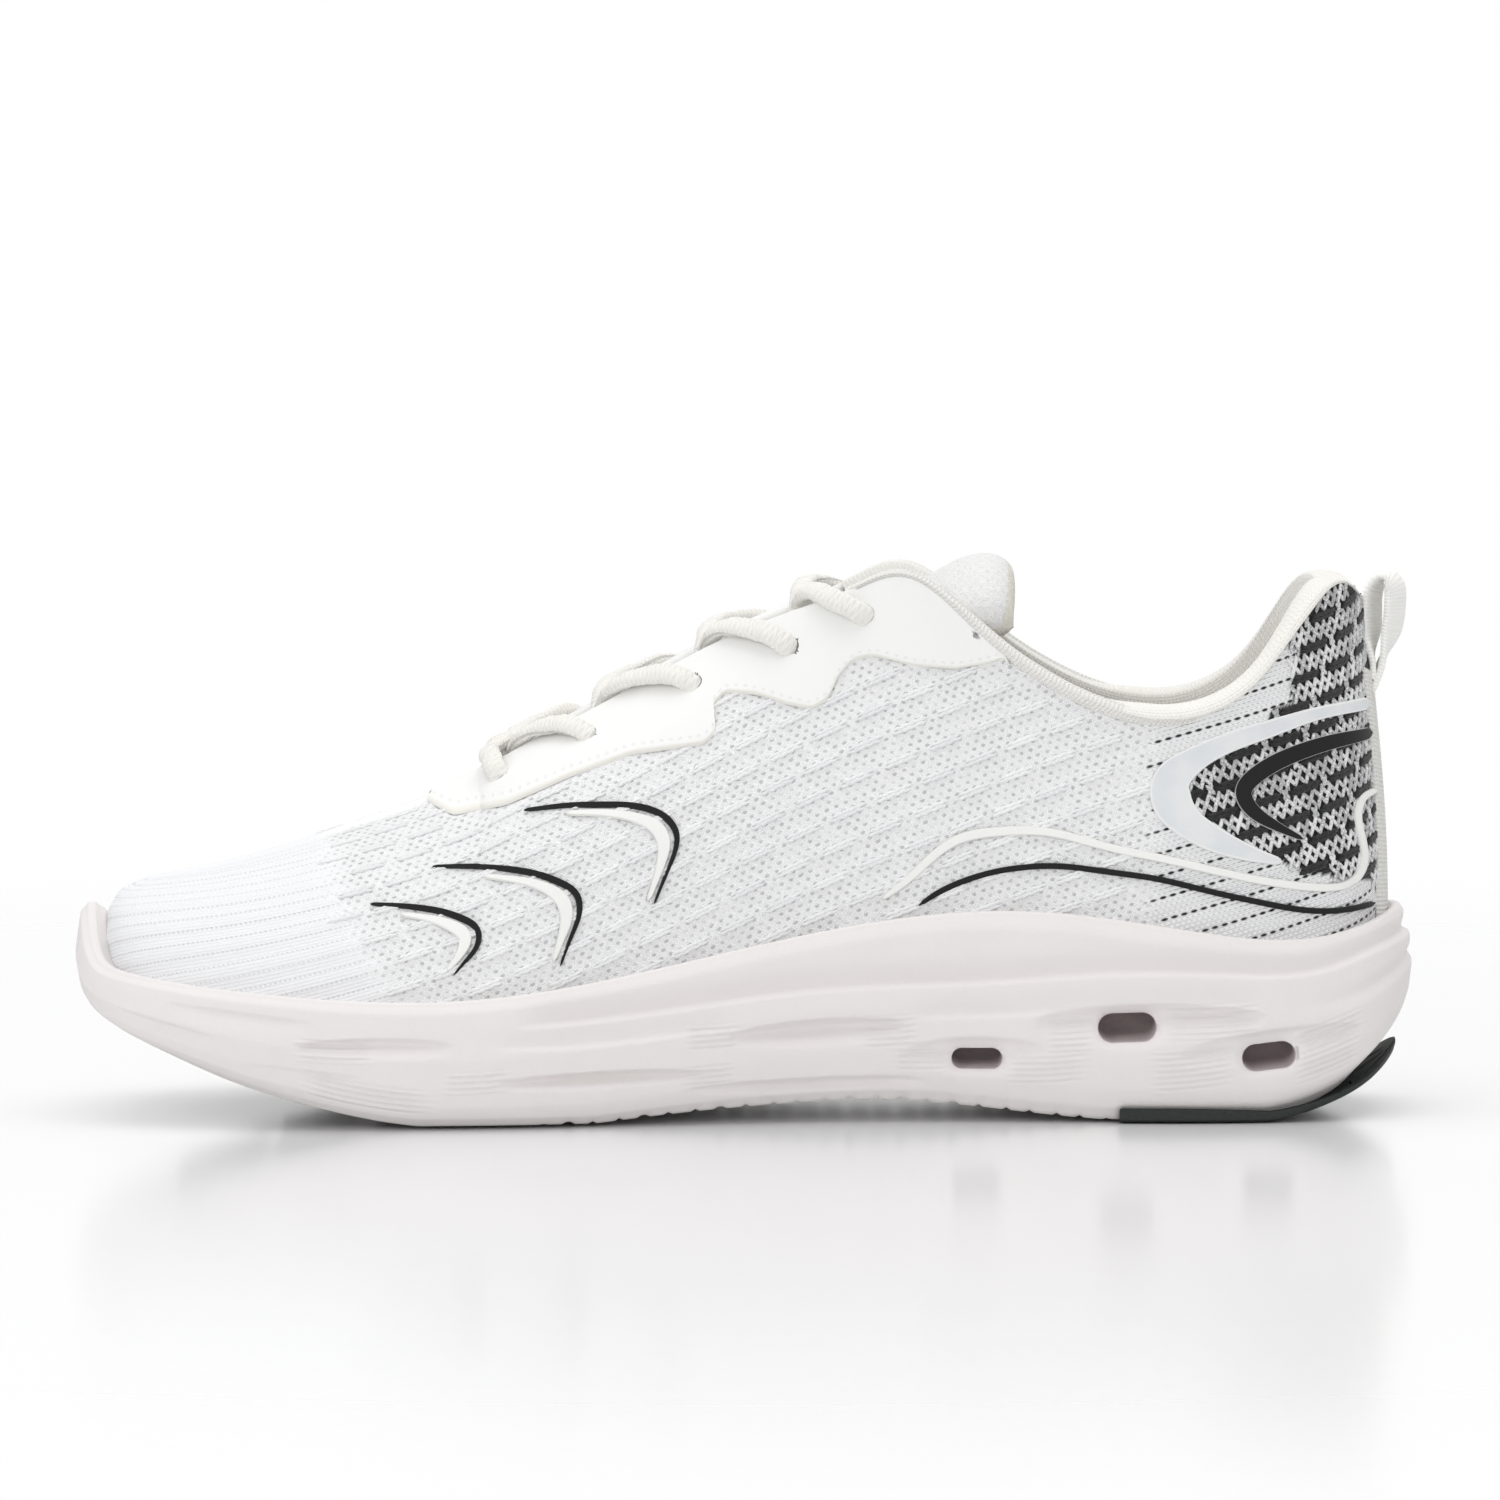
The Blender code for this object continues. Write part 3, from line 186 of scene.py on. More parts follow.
# Plan view of the sole: half width along t, and the centre line along x.
HALF_WIDTH = Curve(
    (0, 0), (0.1, 27), (0.2, 43.5), (0.3, 52.5), (0.4, 54), (0.5, 47), (0.6, 42), (0.7, 41.5), (0.8, 37.5),
    (0.9, 24.5), (1, 0),
)
CENTRE = Curve(
    (-150, -11.5), (-121, -7), (-88, -2.7), (-46, 1.5), (0, 4.8), (46, 3.3), (88, 0.3), (121, -1.2),
    (150, -2.7),
)

# Side view of the sole, along x: the ground side, the footbed and the rim on either side.
SOLE_BOTTOM = Curve(
    (-150, 24), (-144, 20.5), (-131, 15.5), (-116, 10), (-93, 3.6), (-78, 0.7), (-66, -0.5), (-38, -0.5),
    (-20, 1.2), (12, 3.6), (30, 4.1), (48, 3), (72, 0.5), (86, -0.4), (113, -0.5), (124, 1.6), (132, 4.4),
    (140, 8.6), (146, 14), (150, 19),
)
FOOTBED = Curve(
    (-150, 30), (-133, 25.5), (-100, 20.5), (-70, 19), (-30, 22), (10, 27), (50, 29.5), (150, 29.5),
)
RIM_MEDIAL = Curve(
    (-150, 34.5), (-134, 32.3), (-100, 28.8), (-60, 28.1), (-24, 33.2), (12, 40.9), (48, 46.2),
    (62, 46.5), (98, 42.4), (125, 40.2), (137, 41.9), (147, 44.6),
)
RIM_LATERAL = Curve(
    (-150, 34.5), (-134, 32.3), (-100, 28.8), (-60, 28), (-24, 31), (12, 35.5), (48, 39.5), (75, 41),
    (98, 40.5), (125, 40.2), (137, 41.9), (147, 44.6),
)

# Top line of the upper: its station along x, its height, and half the width of the opening.
TOP_X = Curve(
    (-0.15, -119), (0, -131), (0.15, -119), (0.3, -86), (0.4, -48), (0.5, -3), (0.6, 43), (0.7, 86),
    (0.8, 117.5), (0.9, 133), (1, 138.3), (1.1, 133),
)
TOP_Z = Curve(
    (-131, 52.6), (-118, 55), (-100, 60), (-86, 64.7), (-71, 70), (-60, 75), (-48, 82), (-36, 88.3),
    (-13, 101), (7, 110.4), (24, 117.3), (34, 121.1), (40, 119.6), (48, 113.6), (58, 105), (68, 98.3),
    (82, 92), (95, 90.3), (106, 93.3), (115, 100.5), (123, 111.3), (130, 118.4), (135.5, 118),
    (138.3, 114.6),
)
TOP_CENTRE = Curve((-131, -9), (-100, -5), (-60, -1), (0, 2.5), (60, 1.5), (138.3, -2.7))
TOP_HALF = Curve(
    (0.36, 9.5), (0.42, 10.5), (0.5, 12.5), (0.56, 17), (0.6, 22), (0.66, 27), (0.72, 28.5), (0.8, 25.5),
    (0.88, 17), (0.94, 9), (1, 0),
)
# How the wall of the upper bends: a bulge above the feather line, and a shoulder under the top line.
BULGE = 1.0
LOW_RISE = Curve((0, 0.75), (0.2, 0.62), (0.35, 0.5), (0.7, 0.5), (1, 0.5))
SHOULDER_OUT = Curve(
    (0, 0.9), (0.1, 0.8), (0.2, 0.66), (0.35, 0.6), (0.5, 0.62), (0.6, 0.3), (0.7, 0.12), (1, 0.2),
)
SHOULDER_DOWN = Curve((0, 0), (0.3, 0), (0.37, 0.05), (0.5, 0.2), (0.6, 0.34), (0.7, 0.36), (1, 0.3))


def outline(t, side):
    """The edge of the sole in plan."""
    x = -LENGTH / 2 * np.cos(np.pi * t)
    return np.stack([x, CENTRE(x) + side * HALF_WIDTH(t)], -1)


def outward(t, side):
    """Unit normal of the plan outline."""
    step = 1e-4
    along = outline(t + step, side) - outline(t - step, side)
    along /= np.linalg.norm(along, axis=-1, keepdims=True)
    return np.stack([-side * along[..., 1], side * along[..., 0]], -1)


def rim_height(x, t, side):
    lip = TOE_LIP_RISE * np.exp(-((t / TOE_LIP_SPREAD) ** 2))
    return np.where(np.asarray(side) < 0, RIM_MEDIAL(x), RIM_LATERAL(x)) + lip


def smooth_step(value, start, end):
    share = np.clip((value - start) / (end - start), 0, 1)
    return share * share * (3 - 2 * share)


def wall(t, v, side):
    """A point of the upper's outer surface: a Bezier curve from the feather line to the top line."""
    t, v = np.broadcast_arrays(np.asarray(t, float), np.asarray(v, float))
    side = np.broadcast_to(side, t.shape)[..., None]
    out = outward(t, side[..., 0])
    foot = outline(t, side[..., 0]) - UPPER_INSET * out
    foot = np.concatenate([foot, (FOOTBED(foot[..., 0]) + STROBEL + 2 * LAYER_GAP)[..., None]], -1)
    x = TOP_X(t)
    opening = np.clip((t - THROAT_T) / THROAT_ROUND, 0, 1)
    half = np.where(t > THROAT_T, TOP_HALF(t) * np.sqrt(opening * (2 - opening)), 0)
    top = np.stack([x, TOP_CENTRE(x) + side[..., 0] * half, TOP_Z(x)], -1)
    height = top[..., 2:] - foot[..., 2:]
    reach = np.linalg.norm(top[..., :2] - foot[..., :2], axis=-1, keepdims=True)
    ridge_slope = (TOP_Z(x + 1) - TOP_Z(x - 1)) / 2 * (1 - smooth_step(x, -70, -40))
    sideways = np.concatenate([out, (ridge_slope * out[..., 0])[..., None]], -1)
    up = np.array([0, 0, 1.0])
    flat_out = np.concatenate([out, np.zeros_like(out[..., :1])], -1)
    low = foot + BULGE * flat_out + LOW_RISE(t)[..., None] * height * up
    high = top + SHOULDER_OUT(t)[..., None] * reach * sideways - SHOULDER_DOWN(t)[..., None] * height * up
    v = v[..., None]
    return (1 - v) ** 3 * foot + 3 * (1 - v) ** 2 * v * low + 3 * (1 - v) * v**2 * high + v**3 * top


def wall_normal(t, v, side):
    step = 1e-3
    t, v = np.broadcast_arrays(np.asarray(t, float), np.asarray(v, float))
    along = wall(t + step, v, side) - wall(t - step, v, side)
    v0, v1 = np.clip(v - step, 0, 1), np.clip(v + step, 0, 1)
    upward = wall(t, v1, side) - wall(t, v0, side)
    normal = np.cross(along, upward) * -np.broadcast_to(side, t.shape)[..., None]
    return normal / np.linalg.norm(normal, axis=-1, keepdims=True)


def on_wall(t, v, side, offset=0.0):
    """A point on a surface parallel to the upper, offset outward from it."""
    return wall(t, v, side) + np.asarray(offset)[..., None] * wall_normal(t, v, side)


def find_on_wall(x, z, side):
    """(t, v) of the places on one wall that lie at these x and z, seen square on from the side."""
    x, z = np.asarray(x, float), np.asarray(z, float)
    t = np.arccos(np.clip(-x / (LENGTH / 2 - UPPER_INSET), -0.999, 0.999)) / np.pi
    v = np.clip((z - FOOTBED(x)) / (TOP_Z(x) - FOOTBED(x)), 0.02, 0.95)
    step = 1e-4
    for _ in range(25):
        here = wall(t, v, side)[..., [0, 2]]
        by_t = (wall(t + step, v, side)[..., [0, 2]] - here) / step
        by_v = (wall(t, v + step, side)[..., [0, 2]] - here) / step
        miss = np.stack([x, z], -1) - here
        turn = by_t[..., 0] * by_v[..., 1] - by_t[..., 1] * by_v[..., 0]
        t = np.clip(t + 0.7 * (miss[..., 0] * by_v[..., 1] - miss[..., 1] * by_v[..., 0]) / turn, 0.01, 0.999)
        v = np.clip(v + 0.7 * (by_t[..., 0] * miss[..., 1] - by_t[..., 1] * miss[..., 0]) / turn, 0.0, 1.0)
    return t, v


# Windows through the side wall of the sole: x, z, length, height and tilt in degrees.
WINDOWS = ((51.5, 14.2, 11.3, 4.6, 0), (84.8, 21.3, 13, 6.4, 2), (116.3, 14.8, 12, 6, 6))
EYELETS = ((-54.5, 75.4), (-35, 84.6), (-11.5, 96), (10, 104.3), (27, 111.6))  # x, z of each laced row
SPARE_EYELET = (51.5, 107.4)
EYESTAY_EDGE = (
    (-71, 69.2), (-65, 67), (-53, 69.9), (-39, 76), (-25, 81), (-9, 83.2), (-6.3, 86), (-7.2, 91.5),
    (-4.5, 94.4), (2.5, 94), (9.7, 91.8), (15, 90.8), (18.5, 93), (20.8, 98), (24.1, 101.7), (28.5, 102.7),
    (37.6, 100.6), (47, 99.9), (54, 101.2), (59, 102.8),
)
TONGUE_SPAN = (-60.0, 33.0)
TONGUE_LINE = Curve(  # height of its face along the middle
    (-60, 68.5), (-48, 74.8), (-36, 81), (-13, 93.5), (7, 103), (24, 110.4), (34, 114.4), (44, 119)
)
TAB_CENTRE, TAB_DROP = 2.2, 0.022  # y of its middle, and how its face falls away to the sides

# Film shapes bonded to both sides of the upper, seen from the side: (x, z, width) along the middle of each.
OVERLAYS = {
    "heel_wing": (
        (138.9, 91.6, 2.9), (127.3, 90.2, 3), (115.8, 86.8, 4), (105.7, 83.3, 4.7), (98.6, 79.4, 6.3),
        (94.6, 74.9, 8.6), (94.9, 70.9, 9), (97.8, 66.9, 7.4), (103.9, 62.9, 5.8), (112, 59.6, 3.6),
        (119.2, 57.6, 1.6),
    ),
    "heel_chevron": (
        (139.4, 85, 2.68), (131.8, 84.1, 3.42), (120.3, 80.7, 3.9), (113.6, 76.9, 4.03),
        (110.7, 73.1, 3.9), (112, 69.8, 3.54), (116.3, 66.4, 2.68), (123.9, 62.5, 1.1),
    ),
    "side_line_cream": (
        (30.4, 49.3, 1), (35.8, 53.3, 1.7), (41.6, 58.6, 2), (47.2, 62.4, 2.2), (55.8, 64.2, 2.2),
        (67.2, 64.2, 2), (80.1, 61.1, 1.9), (91.5, 58.7, 1.9), (103, 56.1, 1.9), (114.5, 53.6, 1.9),
        (123, 52.2, 1.9), (130.4, 51.6, 1.8), (134.5, 52.4, 1.7), (136.9, 55, 1.7), (136.9, 62, 1.6),
        (136.2, 68.6, 1.6), (137.6, 71.2, 1.6), (140.6, 72.1, 1.6),
    ),
    "side_line_black": (
        (38.7, 48, 0.77), (42, 50.2, 1.27), (47.2, 52.8, 1.36), (53.1, 54.8, 1.36), (61.6, 56.4, 1.36),
        (70.2, 56.7, 1.36), (80.1, 55.6, 1.36), (91.5, 54, 1.36), (103, 51.3, 1.36), (114.5, 48.7, 1.36),
        (123, 47, 1.36), (131.8, 46.4, 1.36), (140.4, 47.2, 1.36),
    ),
    "stroke_black_1": (
        (-49, 68.9, 0.54), (-39.1, 70.1, 1.02), (-31.9, 70.3, 1.22), (-21.1, 69.3, 1.43), (-16.9, 66.9, 1.5),
        (-15.3, 64.2, 1.36), (-16.2, 58.5, 0.95), (-18.2, 53.7, 0.75), (-20.2, 48.8, 0.54),
    ),
    "stroke_cream_1": (
        (-39.8, 68.4, 1), (-31.5, 68.5, 1.62), (-23.1, 67.1, 2.5), (-19.4, 65, 3.25), (-18.2, 62.5, 3.12),
        (-18.6, 58, 2.12), (-20.1, 53.4, 1.38), (-21.6, 49.5, 1),
    ),
    "stroke_black_2": (
        (-69.3, 56.6, 0.54), (-56.9, 56.8, 1.09), (-47.7, 55.9, 1.36), (-40.5, 53.5, 1.5), (-37.3, 51, 1.5),
        (-36.7, 47.5, 1.29), (-38.5, 42, 0.88), (-40.9, 35.6, 0.54),
    ),
    "stroke_cream_2": (
        (-57.8, 54.9, 1), (-49.1, 54, 1.75), (-42.9, 51.9, 2.75), (-40.3, 49.5, 3.25), (-39.6, 46.7, 2.88),
        (-40.7, 41.7, 1.75), (-42.5, 36.5, 1),
    ),
    "stroke_black_3": (
        (-83, 48.8, 0.61), (-76.7, 48.5, 0.95), (-67.9, 47.5, 1.29), (-62.3, 45.8, 1.43), (-59.1, 43.4, 1.43),
        (-59.1, 40.6, 1.22), (-61.6, 37, 0.88), (-64.4, 33.8, 0.54),
    ),
    "stroke_cream_3": (
        (-76.3, 46.7, 1), (-68.9, 45.6, 1.75), (-64.3, 44, 2.75), (-62, 42.1, 3), (-62.5, 39.3, 2.25),
        (-64.7, 36.1, 1.25), (-66.1, 34.4, 1),
    ),
}


# Meshes. Points are in millimetres, and `values` are named floats, one per point, for the materials to read.
def add_mesh(name, points, faces, finish, values=None):
    mesh = bpy.data.meshes.new(name)
    mesh.from_pydata((np.asarray(points).reshape(-1, 3) * MM).tolist(), [], faces)
    for key, value in (values or {}).items():
        layer = mesh.attributes.new(key, "FLOAT", "POINT")
        layer.data.foreach_set("value", np.asarray(value, np.float32).ravel())
    made = bpy.data.objects.new(name, mesh)
    bpy.context.scene.collection.objects.link(made)
    mesh.materials.append(finish)
    mesh.polygons.foreach_set("use_smooth", [True] * len(mesh.polygons))
    return made


@contextmanager
def edited(made):
    """The object's mesh opened for bmesh, and written back afterwards."""
    edit = bmesh.new()
    edit.from_mesh(made.data)
    yield edit
    edit.to_mesh(made.data)
    edit.free()


def grid_faces(rows, columns, closed=False, start=0):
    """Quads between rows of points. A closed grid joins its last column to its first."""
    i, j = np.meshgrid(np.arange(rows - 1), np.arange(columns if closed else columns - 1), indexing="ij")
    k = (j + 1) % columns
    corners = (i * columns + j, i * columns + k, (i + 1) * columns + k, (i + 1) * columns + j)
    return (np.stack(corners, -1).reshape(-1, 4) + start).tolist()


def face_outward(made, outside):
    """Turns every face to the same side; most of them then point the way `outside` gives at their centres."""
    with edited(made) as edit:
        bmesh.ops.remove_doubles(edit, verts=edit.verts, dist=0.004 * MM)
        bmesh.ops.recalc_face_normals(edit, faces=edit.faces)
        sample = list(edit.faces)[:: max(1, len(edit.faces) // 400)]
        if sum(face.normal.dot(outside(face.calc_center_median() / MM)) for face in sample) < 0:
            bmesh.ops.reverse_faces(edit, faces=edit.faces)
    return made


def away_from_foot(point):
    """Direction from the middle of the foot to a point, for telling outside from inside."""
    return Vector((point.x * 0.3, point.y, point.z - 45)).normalized()


def away_from_middle(made):
    middle = sum((Vector(corner) for corner in made.bound_box), Vector()) / 8 / MM
    return lambda point: point - middle


def grid_mesh(name, grid, finish, values=None, closed=False, outside=away_from_foot):
    """One smooth surface through a grid of points (rows, columns, 3)."""
    rows, columns = grid.shape[:2]
    values = {key: np.broadcast_to(value, (rows, columns)) for key, value in (values or {}).items()}
    made = add_mesh(name, grid, grid_faces(rows, columns, closed), finish, values)
    return face_outward(made, outside)


def sweep(path, ups, sections):
    """Rings round a path: each section holds (across, up) offsets, as arrays (stations, points)."""
    forward = unit(np.gradient(path, axis=0))
    across = unit(np.cross(forward, ups))
    up = np.cross(across, forward)
    aside, rise = sections
    return path[:, None] + aside[..., None] * across[:, None] + rise[..., None] * up[:, None]


def swept_mesh(name, path, ups, sections, finish, values=None):
    """A closed tube or strap along a path, capped at both ends."""
    rings = sweep(path, ups, sections)
    stations, count = rings.shape[:2]
    faces = grid_faces(stations, count, closed=True)
    faces += [list(range(count)), list(range((stations - 1) * count, stations * count))]
    values = {key: np.broadcast_to(value, (stations, count)) for key, value in (values or {}).items()}
    made = add_mesh(name, rings, faces, finish, values)
    with edited(made) as edit:
        bmesh.ops.recalc_face_normals(edit, faces=edit.faces)
    return made


def unit(vectors):
    return vectors / np.maximum(np.linalg.norm(vectors, axis=-1, keepdims=True), 1e-9)


def arc_lengths(points):
    """Distance along each row of points from its first one."""
    steps = np.linalg.norm(np.diff(points, axis=-2), axis=-1)
    return np.concatenate([np.zeros_like(steps[..., :1]), np.cumsum(steps, -1)], -1)


def smooth_rows(values, rounds):
    """Softens the corners of a line of values, keeping its ends."""
    for _ in range(rounds):
        values[1:-1] = (values[:-2] + 2 * values[1:-1] + values[2:]) / 4
    return values


def rounded(inset, bevel):
    """Share of full height this far inside an edge that is rounded off over the bevel."""
    return np.sqrt(np.clip(1 - (1 - np.clip(inset / bevel, 0, 1)) ** 2, 0, 1))


def wave(at, pitch):
    return np.sin(at * 2 * math.pi / pitch)


def turns(count):
    """Angles evenly round a circle."""
    return np.arange(count) * 2 * math.pi / count


def even_path(points, step):
    """A smooth path through control points at even steps; columns after x, y, z are carried along."""
    points = np.array(points, float)
    along = arc_lengths(points[:, :3])
    at = np.linspace(0, along[-1], max(int(along[-1] / step), 8))
    return np.stack([Curve(*zip(along, column))(at) for column in points.T], -1), at


def oval(count, half_width, half_height, power=1.0):
    """(across, up) round an oval; power below 1 squares it off."""
    across, up = np.cos(turns(count)), np.sin(turns(count))
    return (
        half_width * np.sign(across) * np.abs(across) ** power,
        half_height * np.sign(up) * np.abs(up) ** power,
    )


def noise(*at, seed=0.0):
    """Smooth pseudo-random waves from -1 to 1."""
    total = 0.0
    for k, (a, b) in enumerate(((1.0, 1.7), (2.3, 0.9), (0.7, 3.1), (3.7, 2.9))):
        total = total + np.sin(a * at[0] + b * at[-1] + seed + 1.3 * k) / 4
    return total


# Materials: arithmetic on values that vary over a surface, one Math node for each operation.
class Field:
    def __init__(self, paint, socket):
        self.paint, self.socket = paint, socket

    def math(self, operation, *others):
        node = self.paint.node("ShaderNodeMath", operation=operation)
        for slot, value in zip(node.inputs, (self, *others)):
            self.paint.plug(value, slot)
        return Field(self.paint, node.outputs[0])

    def __add__(self, other):
        return self.math("ADD", other)

    def __sub__(self, other):
        return self.math("SUBTRACT", other)

    def __rsub__(self, other):
        return (self * -1.0) + other

    def __mul__(self, other):
        return self.math("MULTIPLY", other)

    def __truediv__(self, other):
        return self.math("DIVIDE", other)

    __radd__, __rmul__ = __add__, __mul__

    def floor(self):
        return self.math("FLOOR")

    def wrapped(self):
        """The fraction, from -0.5 to 0.5."""
        return self.math("FRACT") - 0.5

    def sin(self):
        return self.math("SINE")

    def abs(self):
        return self.math("ABSOLUTE")

    def wave(self, pitch):
        return (self * (2 * math.pi / pitch)).sin()

    def hypot(self, other):
        return (self * self + other * other).math("SQRT")

    def rising(self, start, end):
        """0 up to start, 1 from end, smooth between; start may be the larger."""
        node = self.paint.node("ShaderNodeMapRange", interpolation_type="SMOOTHSTEP")
        for slot, value in zip(node.inputs, (self, start, end)):
            self.paint.plug(value, slot)
        return Field(self.paint, node.outputs[0])


class Paint:
    """A material being mixed: a Principled shader and the nodes that feed it."""

    def __init__(self, name, roughness=0.8, **settings):
        self.made = bpy.data.materials.new(name)
        self.made.use_nodes = True
        self.tree = self.made.node_tree
        self.shader = self.tree.nodes["Principled BSDF"]
        self.shader.inputs["Roughness"].default_value = roughness
        for key, value in settings.items():
            self.shader.inputs[key.replace("_", " ").title().replace("Ior", "IOR")].default_value = value
        self.height = None

    def node(self, kind, **settings):
        made = self.tree.nodes.new(kind)
        for key, value in settings.items():
            setattr(made, key, value)
        return made

    def plug(self, value, slot):
        if isinstance(value, Field):
            self.tree.links.new(value.socket, slot)
        elif hasattr(value, "is_output"):
            self.tree.links.new(value, slot)
        else:
            slot.default_value = value

    def value(self, name):
        return Field(self, self.node("ShaderNodeAttribute", attribute_name=name).outputs["Fac"])

    def place(self):
        """The point in millimetres."""
        split = self.node("ShaderNodeSeparateXYZ")
        self.plug(self.node("ShaderNodeNewGeometry").outputs["Position"], split.inputs[0])
        return [Field(self, out) * (1 / MM) for out in split.outputs]

    def grain(self, size, detail=2.0):
        """Noise from 0 to 1 with features of this size in millimetres."""
        node = self.node("ShaderNodeTexNoise")
        node.inputs["Scale"].default_value = 1 / (size * MM)
        node.inputs["Detail"].default_value = detail
        self.plug(self.node("ShaderNodeTexCoord").outputs["Object"], node.inputs["Vector"])
        return Field(self, node.outputs["Fac"])

    def mix(self, share, first, second):
        """A colour between two: each is a tuple or the output of another mix."""
        node = self.node("ShaderNodeMix", data_type="RGBA")
        self.plug(share, node.inputs["Factor"])
        for value, slot in ((first, node.inputs["A"]), (second, node.inputs["B"])):
            self.plug((*value, 1) if isinstance(value, tuple) else value, slot)
        return node.outputs["Result"]

    def colour(self, colour):
        self.plug((*colour, 1) if isinstance(colour, tuple) else colour, self.shader.inputs["Base Color"])

    def bump(self, height, depth):
        """Raises the surface by height (a Field) times depth in millimetres."""
        node = self.node("ShaderNodeBump")
        node.inputs["Distance"].default_value = depth * MM
        self.plug(height, node.inputs["Height"])
        if self.height:
            self.plug(self.height, node.inputs["Normal"])
        self.height = node.outputs["Normal"]
        self.plug(self.height, self.shader.inputs["Normal"])


# Places on the knit by length: `along` from the toe round the side, and `up` from the feather line.
WALL_T, WALL_V = np.linspace(0, 1, 401), np.linspace(0, 1, 81)
ALONG_AT = 0.3  # the height v at which `along` is measured
UP_TABLE = {side: arc_lengths(wall(WALL_T[:, None], WALL_V[None], side)) for side in SIDES.values()}
ALONG_TABLE = {side: arc_lengths(wall(WALL_T, ALONG_AT, side)) for side in SIDES.values()}


def knit_lengths(t, v, side):
    """(along, up) of places given as (t, v)."""
    row, column = np.clip(t, 0, 1) * (len(WALL_T) - 1), np.clip(v * (len(WALL_V) - 1), 0, len(WALL_V) - 1.001)
    i, j = np.clip(row.astype(int), 0, len(WALL_T) - 2), column.astype(int)
    a, b, table = row - i, column - j, UP_TABLE[side]
    first, second = ((1 - b) * table[k, j] + b * table[k, j + 1] for k in (i, i + 1))
    return np.interp(t, WALL_T, ALONG_TABLE[side]), (1 - a) * first + a * second


def knit_place(along, up, side):
    """(t, v) of places given by their lengths; v runs past 1 above the top line."""
    shape = np.shape(along)
    along, up = np.ravel(along), np.ravel(up)
    t = np.interp(along, ALONG_TABLE[side], WALL_T)
    row = t * (len(WALL_T) - 1)
    i = np.clip(row.astype(int), 0, len(WALL_T) - 2)
    share = (row - i)[:, None]
    tables = (1 - share) * UP_TABLE[side][i] + share * UP_TABLE[side][i + 1]
    v = np.array([np.interp(u, table, WALL_V, left=-1, right=2) for u, table in zip(up, tables)])
    return t.reshape(shape), v.reshape(shape)


def even_stations(spacing, start=0.0, end=1.0):
    """Stations t at even spacing in millimetres along the foot."""
    along = ALONG_TABLE[MEDIAL]
    first, last = np.interp([start, end], WALL_T, along)
    return np.interp(np.linspace(first, last, max(int((last - first) / spacing), 3)), along, WALL_T)


def round_the_foot(stations):
    """(t, side) of a closed ring of places: along the medial side, and back along the lateral one."""
    t = np.r_[stations, stations[-2:0:-1]]
    return t, np.r_[np.full(len(stations), MEDIAL), np.full(len(stations) - 2, LATERAL)]


def turned(along, up, angle):
    """Lengths turned by an angle: (course, row) along a course of the knit and across it, for one."""
    return (
        along * math.cos(angle) + up * math.sin(angle),
        up * math.cos(angle) - along * math.sin(angle),
    )


def unturned(course, row, angle):
    """The lengths that `turned` would turn into these."""
    return (
        course * math.cos(angle) - row * math.sin(angle),
        course * math.sin(angle) + row * math.cos(angle),
    )


# Zones of the knit in the side view: the plain toe, the ribbed heel, and the black and white patch in it.
TOE_ZONE = ((-104, 75), (-95, 62), (-90, 48), (-84, 38), (-78, 28), (-74, 15))
HEEL_ZONE_START = 90.0
HEEL_MESH = (
    (160, 49), (137, 53), (126, 55), (119.2, 57.6), (112, 59.6), (103.9, 62.9), (97.8, 66.9),
    (94.9, 70.9), (94.6, 74.9), (98.6, 79.4), (105.7, 83.3), (115.8, 87.8), (117, 91.5), (122.6, 92.8),
    (120.8, 95), (123.4, 97.5), (121.6, 100.5), (123.6, 103.5), (120, 106), (117, 108), (117, 130),
    (160, 130),
)


def inside_outline(x, z, corners):
    """Which points lie inside a polygon."""
    inside = np.zeros(np.shape(x), bool)
    for (x0, z0), (x1, z1) in zip(corners, corners[1:] + corners[:1]):
        crosses = (z0 > z) != (z1 > z)
        inside ^= crosses & (x < (x1 - x0) * (z - z0) / (z1 - z0 + 1e-9) + x0)
    return inside


def in_heel_mesh(x, z):
    """Which points lie in the black and white knit of the heel."""
    return inside_outline(x, z, HEEL_MESH) & (x > HEEL_ZONE_START)


def toe_share(x, z):
    """1 in the plain knit of the toe, 0 behind it, with a toothed edge."""
    edge = np.interp(z, *np.array(TOE_ZONE)[::-1].T[::-1])
    return smooth_step(edge + 1.5 * np.sin(z * 1.6) - x, -7, 5)


def eyestay_edge(x):
    """Height of the eyestay's lower edge, or far above where there is none."""
    edge_x, edge_z = np.array(EYESTAY_EDGE).T
    return np.where((x > EYESTAY_START) & (x < EYESTAY_END), np.interp(x, edge_x, edge_z), 1e3)


def add_knit(paint):
    """The whole knit sock as one surface, holed at the eyelets."""
    t, side = round_the_foot(even_stations(0.8))
    tt, vv = np.meshgrid(t, np.linspace(0, 1, KNIT_ROWS))
    along, up = np.empty_like(tt), np.empty_like(tt)
    for direction in (MEDIAL, LATERAL):
        here = side == direction
        along[:, here], up[:, here] = knit_lengths(tt[:, here], vv[:, here], direction)
    row = turned(along, up, KNIT_SLOPE)[1]
    puff = KNIT_PUFF * np.cos(row * 2 * math.pi / RIB_ROW) * smooth_step(vv, 0, 0.05) * smooth_step(vv, 1, 0.94)
    grid = on_wall(tt, vv, side[None], puff)
    x, z = grid[..., 0], grid[..., 2]
    heel = smooth_step(x + 1.5 * np.sin(z * 2.1), HEEL_ZONE_START - 0.5, HEEL_ZONE_START + 1)
    calm = smooth_step(vv, 0.86, 0.97) * (tt < THROAT_T)
    values = {"along": along, "up": up, "calm": calm}
    values.update(toe=toe_share(x, z), heel=heel, mesh=in_heel_mesh(x, z))
    made = grid_mesh("upper_knit", grid, paint, values, closed=True)
    cut_eyelets(made, EYELETS, EYELET_RADIUS - 0.1)
    return made


